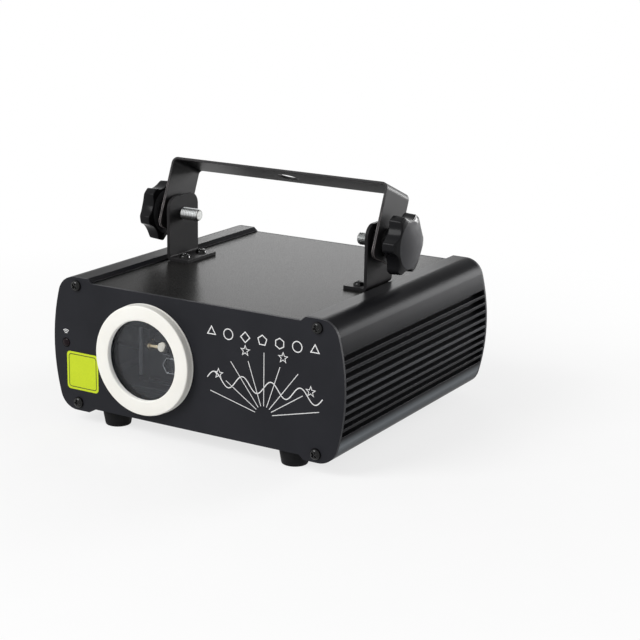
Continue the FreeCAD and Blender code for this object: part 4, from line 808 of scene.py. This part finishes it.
def lens_barrel():
    """A turned brass barrel with a flange, lying along the window."""
    start, stop = FLANGE_SPAN
    corners = [(END_RING, 0), (TUBE_RADIUS, 0), (TUBE_RADIUS, start), (FLANGE_RADIUS, start),
               (FLANGE_RADIUS, stop), (TUBE_RADIUS, stop), (TUBE_RADIUS, BARREL_LENGTH),
               (END_RING, BARREL_LENGTH)]
    place = placed(Vector((BARREL_START, BRACKET_FRONT + BRACKET_THICK / 2, BARREL_RISE)), RIGHT)
    form = bmesh.new()
    rings = lathe(form, fillet(corners, BARREL_ROUND), place)
    cap(form, rings[0], rings[-1])
    piece("lens_barrel", form, "laser_brass")


def dome(radius, height):
    """(radius, rise) points from a rim up to near the middle."""
    steps = FILLET_STEPS * 2
    turns = [math.pi / 2 * step / steps for step in range(steps)]
    return [(radius * math.cos(turn), height * math.sin(turn)) for turn in turns]


def turning_mirror():
    """A round, faintly crowned mirror on the barrel's end, turned towards the window."""
    profile = [(END_RING, -MIRROR_THICK), (MIRROR_RADIUS, -MIRROR_THICK)] + dome(MIRROR_RADIUS, MIRROR_CROWN)
    form = bmesh.new()
    rings = lathe(form, profile, placed(MIRROR_PLACE, MIRROR_AIM))
    cap(form, rings[0], rings[-1])
    piece("turning_mirror", form, "mirror_coat", WARM_MIRROR)


def bracket_nut():
    """A hexagon nut on the front of the bracket."""
    place = placed(Vector((NUT_PLACE[0], BRACKET_FRONT, NUT_PLACE[1])), FRONT)
    shoulder = NUT_HEIGHT - NUT_BEVEL
    profile = [(NUT_RADIUS, 0), (NUT_RADIUS, shoulder), (NUT_RADIUS - NUT_BEVEL, NUT_HEIGHT),
               (NUT_BORE + NUT_BEVEL, NUT_HEIGHT), (NUT_BORE, shoulder), (NUT_BORE, 0)]
    form = bmesh.new()
    lathe(form, profile, place, turns=NUT_SIDES)
    piece("bracket_nut", form, "zinc_steel")


def receiver_dome():
    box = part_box("infrared_receiver")
    form = bmesh.new()
    rings = lathe(form, dome(RECEIVER_RADIUS, RECEIVER_DOME), placed(at_depth(box, box[0].y), FRONT))
    cap(form, rings[-1])
    piece("receiver_dome", form, "dark_lens")


def recess(across, up):
    """How deep a cross recess is at a place on a screw head, as a share."""
    def arm(along, side):
        inside = min(RECESS_WIDTH / 2 - abs(side), RECESS_REACH - abs(along))
        return min(1.0, max(0.0, 0.5 + inside / RECESS_BLUR))
    return max(arm(across, up), arm(up, across))


def screw_head(form, place):
    rings = []
    for step in range(1, HEAD_RINGS + 1):
        share = step / HEAD_RINGS
        reach = HEAD_RADIUS * share
        height = HEAD_HEIGHT * math.sqrt(1 - share ** HEAD_POWER)

        def spot_of(angle):
            depth = RECESS_DEPTH * recess(reach * math.cos(angle), reach * math.sin(angle))
            return reach, height - depth
        rings.append(ring_of(form, place, HEAD_TURNS, spot_of))
    skin(form, rings)
    cap(form, rings[0])


def screw_set(node, axis_of):
    """Pan heads with cross recesses for the screws of a CAD node, each turned a little differently."""
    form = bmesh.new()
    for index, box in enumerate(solids(node)):
        axis = axis_of(middle(box))
        head_end = Vector(high if along > 0 else low for low, high, along in zip(*box, axis))
        seat = middle(box)
        seat += axis * ((head_end - seat).dot(axis) - HEAD_HEIGHT)
        screw_head(form, placed(seat, axis) @ Matrix.Rotation(index, 4, "Z"))
    piece(f"{node}_heads", form, "screw_black", stands_for=[node])


def lobed_radius(angle):
    """A knob's outline: a circle with a scallop between each two lobes."""
    spread = math.tau / LOBES
    turn = (angle + spread / 2) % spread - spread / 2
    reach = KNOB_RADIUS - SCALLOP_DEPTH + SCALLOP_RADIUS
    inside = SCALLOP_RADIUS ** 2 - (reach * math.sin(turn)) ** 2
    if inside <= 0:
        return KNOB_RADIUS
    scallop = reach * math.cos(turn) - math.sqrt(inside)
    blend = max(0.0, 1 - abs(KNOB_RADIUS - scallop) / LOBE_ROUND)
    return min(KNOB_RADIUS, scallop) - LOBE_ROUND / 4 * blend ** 2


def knob(side, axis):
    low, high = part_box(f"{side}_knob")
    length = high.x - low.x
    seat = middle((low, high)) - axis * length / 2
    place = placed(seat, axis) @ Matrix.Rotation(math.radians(SCALLOP_TURNS[side]), 4, "Z")

    def crown(reach):
        if reach < RIDGE_RADIUS:
            return length - RIDGE_DROP * (reach / RIDGE_RADIUS) ** 2
        fall = (KNOB_DROP - RIDGE_DROP) / (KNOB_RADIUS - RIDGE_RADIUS)
        return length - RIDGE_DROP - fall * (reach - RIDGE_RADIUS)

    def row(reach_of, rise_of):
        def spot_of(angle):
            reach = reach_of(lobed_radius(angle))
            return reach, rise_of(reach)
        return ring_of(form, place, KNOB_TURNS, spot_of)

    form = bmesh.new()
    rings = [row(lambda outline: NECK_RADIUS, lambda reach: 0.0),
             row(lambda outline: NECK_RADIUS, lambda reach: NECK_LENGTH),
             row(lambda outline: outline - KNOB_EDGE, lambda reach: NECK_LENGTH)]
    for step in range(1, FILLET_STEPS + 1):
        turn = math.pi / 2 * step / FILLET_STEPS
        rings.append(row(lambda outline: outline - KNOB_EDGE * (1 - math.sin(turn)),
                         lambda reach: NECK_LENGTH + KNOB_EDGE * (1 - math.cos(turn))))
    for step in range(FILLET_STEPS + 1):
        turn = math.pi / 2 * step / FILLET_STEPS
        inset = KNOB_DRAFT + KNOB_EDGE * (1 - math.cos(turn))
        drop = KNOB_EDGE * (1 - math.sin(turn))
        rings.append(row(lambda outline: outline - inset, lambda reach: crown(reach + inset) - drop))
    for step in range(1, FILLET_STEPS + 1):
        share = 1 - step / FILLET_STEPS
        rings.append(row(lambda outline: RIDGE_RADIUS + (outline - inset - RIDGE_RADIUS) * share, crown))
    steps = FILLET_STEPS * 4
    for step in range(steps):
        share = 1 - max(step / steps, RIDGE_ROUND_SHARE)
        rings.append(row(lambda outline: RIDGE_RADIUS * share, crown))
    skin(form, rings)
    cap(form, rings[-1], rings[0])
    node = f"{side}_knob"
    piece(f"{node}_moulding", form, "knob_plastic", body=node, stands_for=[node], crease=KNOB_CREASE)


def stud(side, axis):
    """A threaded stud, drawn from its free end to inside the knob."""
    low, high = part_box(f"{side}_stud")
    radius = (high.y - low.y) / 2
    length = high.x - low.x
    place = placed(middle((low, high)) - axis * length / 2, axis)
    form = bmesh.new()
    rings = []
    count = int(length / THREAD_PITCH * THREAD_STEPS)
    for step in range(count + 1):
        rise = length * step / count

        def spot_of(angle):
            phase = (rise / THREAD_PITCH - angle / math.tau) % 1.0
            groove = THREAD_DEPTH * abs(2 * phase - 1)
            return min(radius - groove, radius - STUD_CHAMFER + rise), rise
        rings.append(ring_of(form, place, THREAD_TURNS, spot_of))
    skin(form, rings)
    cap(form, rings[0], rings[-1])
    piece(f"{side}_stud_thread", form, "zinc_steel", LOOKS["thread_steel"], body=f"{side}_knob",
          stands_for=[f"{side}_stud"])


def feet():
    form = bmesh.new()
    for low, high in solids("rubber_feet"):
        centre = Vector(((low.x + high.x) / 2, (low.y + high.y) / 2, low.z))
        height = high.z - low.z
        corners = [(FOOT_ROUND, FOOT_RECESS_DEPTH), (FOOT_RECESS_RADIUS, FOOT_RECESS_DEPTH),
                   (FOOT_RECESS_RADIUS, 0), (FOOT_BASE_RADIUS, 0), (FOOT_TOP_RADIUS, height),
                   (FOOT_ROUND, height)]
        rings = lathe(form, fillet(corners, FOOT_ROUND), placed(centre, UP))
        cap(form, rings[0], rings[-1])
    piece("feet_rubber", form, "foot_rubber", stands_for=["rubber_feet"])


def drape(node, axis):
    """A function that sets (across, up) points of an upright plane down on a node, seen along an axis."""
    tree = BVHTree.FromObject(frame["nodes"][node], bpy.context.evaluated_depsgraph_get())

    def onto(across, up):
        start = Vector((across, 0, up)) + axis
        spot = tree.ray_cast(start, -axis)[0]
        return spot + axis * PRINT_LIFT
    return onto


def outline_normals(points, closed):
    """The mitred side direction at each point of a flat line."""
    count = len(points)
    sides = []
    for index, point in enumerate(points):
        after = points[(index + 1) % count] if closed or index < count - 1 else point
        before = points[index - 1] if closed or index > 0 else point
        legs = [leg.normalized() for leg in (point - before, after - point) if leg.length > 0]
        turns = [Vector((-leg.y, leg.x)) for leg in legs]
        bisector = sum(turns, Vector((0, 0))).normalized()
        sides.append(bisector / max(bisector.dot(turns[0]), LEAST_MITRE_SHARE))
    return sides


def stroke(form, onto, points, width, closed=False):
    """A flat printed line."""
    points = [Vector(point) for point in points]
    rows = []
    for point, side in zip(points, outline_normals(points, closed)):
        edges = (point - side * width / 2, point + side * width / 2)
        rows.append([form.verts.new(onto(*edge)) for edge in edges])
    skin(form, rows + rows[:1] if closed else rows, closed=False)


def fill(form, onto, points):
    """A flat printed area."""
    form.faces.new([form.verts.new(onto(*point)) for point in points])


def polygon(centre, radius, sides, turn=QUARTER, inner_share=None):
    """Corner points of a regular polygon, or of a star with an inner radius."""
    radii = (radius,) if inner_share is None else (radius, radius * inner_share)
    count = sides * len(radii)
    angles = [math.radians(turn) + math.tau * step / count for step in range(count)]
    return [(centre[0] + radii[step % len(radii)] * math.cos(angle),
             centre[1] + radii[step % len(radii)] * math.sin(angle)) for step, angle in enumerate(angles)]


def arc(centre, radius, start, stop):
    angles = [math.radians(start + (stop - start) * step / TURNS) for step in range(TURNS + 1)]
    return [(centre[0] + radius * math.cos(angle), centre[1] + radius * math.sin(angle)) for angle in angles]


def front_print():
    """White line print: beams from one source, a star at every other beam, a wave and a row of shapes."""
    form = bmesh.new()
    onto = drape("front_panel", FRONT)
    source = Vector(BEAM_SOURCE)
    spacing = BEAM_SPREAD / (len(BEAM_ENDS) - 1)
    for index, reach in enumerate(BEAM_ENDS):
        angle = math.radians(QUARTER - BEAM_SPREAD / 2 + spacing * index)
        aim = Vector((math.cos(angle), math.sin(angle)))
        stroke(form, onto, (source + aim * BEAM_START, source + aim * reach), FINE_LINE)
        if index % 2:
            tip = source + aim * (reach + STAR_RADIUS * 2)
            star = polygon(tip, STAR_RADIUS, STAR_POINTS, inner_share=STAR_INNER_SHARE)
            stroke(form, onto, star, FINE_LINE, closed=True)
    wave = []
    for step in range(TURNS + 1):
        share = step / TURNS
        swing = WAVE_SWING * math.sin(math.tau * WAVE_COUNT * share)
        wave.append((WAVE_LEFT + WAVE_LENGTH * share, WAVE_HEIGHT + swing))
    stroke(form, onto, wave, LINE)
    for index, sides in enumerate(SHAPE_SIDES):
        centre = (SHAPE_LEFT + SHAPE_PITCH * index, SHAPE_HEIGHT)
        stroke(form, onto, polygon(centre, SHAPE_RADIUS, sides), LINE, closed=True)
    piece("front_print", form, "panel_charcoal", WHITE_INK)


def receiver_mark():
    """Three small arcs over the receiver."""
    centre = middle(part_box("infrared_receiver"))
    spot = (centre.x, centre.z + SIGNAL_RISE)
    start, stop = QUARTER - SIGNAL_SPREAD / 2, QUARTER + SIGNAL_SPREAD / 2
    form = bmesh.new()
    onto = drape("front_panel", FRONT)
    for radius in SIGNAL_RADII:
        stroke(form, onto, arc(spot, radius, start, stop), FINE_LINE)
    piece("receiver_mark", form, "panel_charcoal", WHITE_INK)


def rounded_box(centre, half, corner):
    """The outline of a box with round corners."""
    points = []
    for index, (across, up) in enumerate(((1, 1), (-1, 1), (-1, -1), (1, -1))):
        spot = (centre[0] + across * (half[0] - corner), centre[1] + up * (half[1] - corner))
        points += arc(spot, corner, QUARTER * index, QUARTER * (index + 1))
    return points


def sticker():
    """A blank sticker with a thin border."""
    film = bmesh.new()
    onto = drape("front_panel", FRONT)
    fill(film, onto, rounded_box(STICKER_CENTRE, (STICKER_HALF, STICKER_HALF), STICKER_ROUND))
    piece("sticker", film, "panel_charcoal", STICKER_FILM)
    border = bmesh.new()

    def above(across, up):
        return onto(across, up) + FRONT * PRINT_LIFT
    half = STICKER_HALF - BORDER_INSET
    outline = rounded_box(STICKER_CENTRE, (half, half), STICKER_ROUND - BORDER_INSET / 2)
    stroke(border, above, outline, FINE_LINE, closed=True)
    piece("sticker_border", border, "panel_charcoal", DARK_INK)


def fan_guard():
    """A wire guard: three rings on two crossed wires whose ends loop under the screws."""
    low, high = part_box("fan_guard")
    centre = middle((low, high))
    front = high.y - WIRE_RADIUS
    seat = low.y + WIRE_RADIUS
    form = bmesh.new()

    def loop(spot, radius, depth):
        points = arc((spot.x, spot.z), radius, 0, QUARTER * 4)[:-1]
        tube(form, [Vector((across, depth, up)) for across, up in points], WIRE_RADIUS, closed=True)
    for radius in GUARD_RINGS:
        loop(centre, radius, front)
    hub = Vector((centre.x, front - WIRE_RADIUS, centre.z))
    for across, up in ((1, 1), (1, -1), (-1, 1), (-1, -1)):
        aim = Vector((across, 0, up)).normalized()
        eye = Vector((centre.x + across * GUARD_SPREAD, seat, centre.z + up * GUARD_SPREAD))
        loop(eye, GUARD_EYE, seat)
        rim = hub + aim * GUARD_RINGS[-1]
        tube(form, [hub, hub.lerp(rim, 0.5), rim, eye - aim * GUARD_EYE], WIRE_RADIUS)
    piece("fan_guard_wires", form, "zinc_steel", stands_for=["fan_guard"])


def connector_rims():
    """A raised rim on each control connector."""
    for node, radius in RIM_RADII.items():
        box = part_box(node)
        inner = radius - RIM_WIDTH
        corners = [(radius, 0), (radius, RIM_PROUD), (inner, RIM_PROUD), (inner, 0)]
        form = bmesh.new()
        lathe(form, fillet(corners, RIM_ROUND), placed(at_depth(box, box[1].y), BACK))
        piece(f"{node}_rim", form, "fitting_plastic")


def output_latch():
    """The latch over the output connector."""
    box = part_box("data_out_connector")
    centre = middle(box)
    lower, upper = (centre.z + rise for rise in LATCH_SPAN)
    outline = oblong(centre.x - LATCH_HALF, centre.x + LATCH_HALF, lower, upper)
    form = bmesh.new()
    bar(form, outline, box[1].y + LATCH_PROUD, LATCH_PROUD, RIM_ROUND, RIM_EDGE_STEPS)
    piece("data_out_latch", form, "zinc_steel")


def display_bezel():
    """A thin frame round the display."""
    low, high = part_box("display_window")
    centre = ((low.x + high.x) / 2, (low.z + high.z) / 2)
    inner = ((high.x - low.x) / 2, (high.z - low.z) / 2)
    outer = tuple(side + BEZEL_WIDTH for side in inner)
    form = bmesh.new()
    rows = []
    for half, rise in ((outer, 0.0), (outer, BEZEL_PROUD), (inner, BEZEL_PROUD), (inner, 0.0)):
        corner = BEZEL_ROUND if half is outer else BEZEL_ROUND / 2
        spots = rounded_box(centre, half, corner)
        rows.append([form.verts.new((across, high.y + rise, up)) for across, up in spots])
    skin(form, rows)
    piece("display_bezel", form, "fitting_plastic")


def digit_segments():
    """Seven unlit segments for each digit of the display."""
    centre = middle(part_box("display_digits"))
    form = bmesh.new()
    onto = drape("display_digits", BACK)
    wide, tall = DIGIT_HALF
    level = wide - SEGMENT_GAP - SEGMENT_WIDTH / 2
    rise = tall / 2
    run = rise - SEGMENT_GAP - SEGMENT_WIDTH / 4
    for digit in range(DIGITS):
        across = centre.x + DIGIT_PITCH * (digit - (DIGITS - 1) / 2)
        levels = [centre.z + up for up in (-tall, 0, tall)]
        segments = [((across - level, up), (across + level, up)) for up in levels]
        for side in (across - wide, across + wide):
            for up in (centre.z - rise, centre.z + rise):
                segments.append(((side, up - run), (side, up + run)))
        for segment in segments:
            stroke(form, onto, segment, SEGMENT_WIDTH)
    piece("display_segments", form, "digit_red", UNLIT_SEGMENT)


def button_marks():
    """Bars, an up arrow, a down arrow and a ring on the caps of the buttons."""
    def bars(form, onto, centre):
        across, height = centre
        for up in (height - MARK / 2, height + MARK / 2):
            stroke(form, onto, [(across - MARK, up), (across + MARK, up)], FINE_LINE)

    def arrow(turn):
        return lambda form, onto, centre: fill(form, onto, polygon(centre, MARK, ARROW_SIDES, turn=turn))

    def ring(form, onto, centre):
        stroke(form, onto, polygon(centre, MARK, TURNS), FINE_LINE, closed=True)
    marks = {"menu": bars, "up": arrow(QUARTER), "down": arrow(-QUARTER), "enter": ring}
    for name, draw in marks.items():
        node = f"{name}_button"
        centre = middle(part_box(node))
        form = bmesh.new()
        draw(form, drape(node, BACK), (centre.x, centre.z))
        piece(f"{node}_mark", form, "button_grey", WHITE_INK, body=node)


def rocker_marks():
    """The line and ring for on and off."""
    centre = middle(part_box("power_rocker"))
    form = bmesh.new()
    onto = drape("power_rocker", BACK)
    upper, lower = centre.z + SWITCH_MARK_RISE, centre.z - SWITCH_MARK_RISE
    stroke(form, onto, [(centre.x, upper - SWITCH_MARK / 2), (centre.x, upper + SWITCH_MARK / 2)], LINE)
    stroke(form, onto, polygon((centre.x, lower), SWITCH_MARK / 2, TURNS), LINE, closed=True)
    piece("rocker_marks", form, "rocker_black", WHITE_INK, body="power_rocker")


# The scene

def aim_camera():
    yaw, pitch, roll = (math.radians(turn) for turn in (CAMERA_YAW, CAMERA_PITCH, CAMERA_ROLL))
    ahead = Vector((-math.sin(yaw) * math.cos(pitch), math.cos(yaw) * math.cos(pitch), -math.sin(pitch)))
    right = Vector((math.cos(yaw), math.sin(yaw), 0))
    up = right.cross(ahead)
    right, up = (math.cos(roll) * right + math.sin(roll) * up, math.cos(roll) * up - math.sin(roll) * right)
    camera = shown("camera", bpy.data.cameras.new("camera"))
    camera.data.lens = CAMERA_LENS
    camera.matrix_world = Matrix.Translation(CAMERA_PLACE) @ Matrix((right, up, -ahead)).transposed().to_4x4()
    bpy.context.scene.camera = camera


def softbox(name, place, width, height, power):
    lamp = bpy.data.lights.new(name, "AREA")
    lamp.shape = "RECTANGLE"
    lamp.size = width
    lamp.size_y = height
    lamp.energy = power
    made = shown(name, lamp)
    made.location = place
    made.rotation_mode = "QUATERNION"
    made.rotation_quaternion = (LAMP_TARGET - place).to_track_quat("-Z", "Y")
    made.visible_camera = False


def white_world():
    """White to look at, and a softer level to light by."""
    world = bpy.data.worlds.new("studio")
    bpy.context.scene.world = world
    tree = Tree(world)
    background = tree.nodes["Background"].inputs
    background["Color"].default_value = (1, 1, 1, 1)
    strength = tree.levels(tree.seen_directly(), WORLD_LIGHT_SHARE, 1.0, start=0.0, stop=1.0)
    tree.feed(background["Strength"], strength)


def floor_look():
    """Pale floor that keeps the shadow near the object and fades to white further out."""
    look = Look("floor_white", specular=0.0)
    look.shader.inputs["Roughness"].default_value = 1.0
    look.colour(look.ramp(look.noise(PATCH), (0.88, 0.88, 0.88), (0.90, 0.90, 0.90)))
    reach = look.vector("LENGTH", look.space)
    fade = look.levels(reach, FLOOR_WHITE_SHARE, 1.0, start=FLOOR_SHADOW, stop=FLOOR_WHITE)
    white = look.node("ShaderNodeEmission", Strength=1.0)
    share = look.math("MULTIPLY", fade, look.seen_directly())
    look.layer(share, look.shader.outputs["BSDF"], white.outputs["Emission"])
    return look.material


def stage_floor():
    form = bmesh.new()
    bmesh.ops.create_circle(form, cap_ends=True, radius=FLOOR_RADIUS, segments=TURNS)
    shown("floor", meshed("floor", form, floor_look()))


bpy.context.scene.view_settings.view_transform = "Standard"
dress_nodes()
lens_ring()
window_bracket()
window_rail()
lens_barrel()
turning_mirror()
bracket_nut()
receiver_dome()
screw_set("panel_screws", lambda centre: FRONT if centre.y < 0 else BACK)
screw_set("ear_screws", lambda centre: UP)
screw_set("rear_fitting_screws", lambda centre: BACK)
screw_set("foot_screws", lambda centre: DOWN)
for side, axis in (("left", LEFT), ("right", RIGHT)):
    knob(side, axis)
    stud(side, axis)
feet()
fan_guard()
front_print()
receiver_mark()
sticker()
connector_rims()
output_latch()
display_bezel()
digit_segments()
button_marks()
rocker_marks()
aim_camera()
for name, lamp in LAMPS.items():
    softbox(name, **lamp)
white_world()
stage_floor()
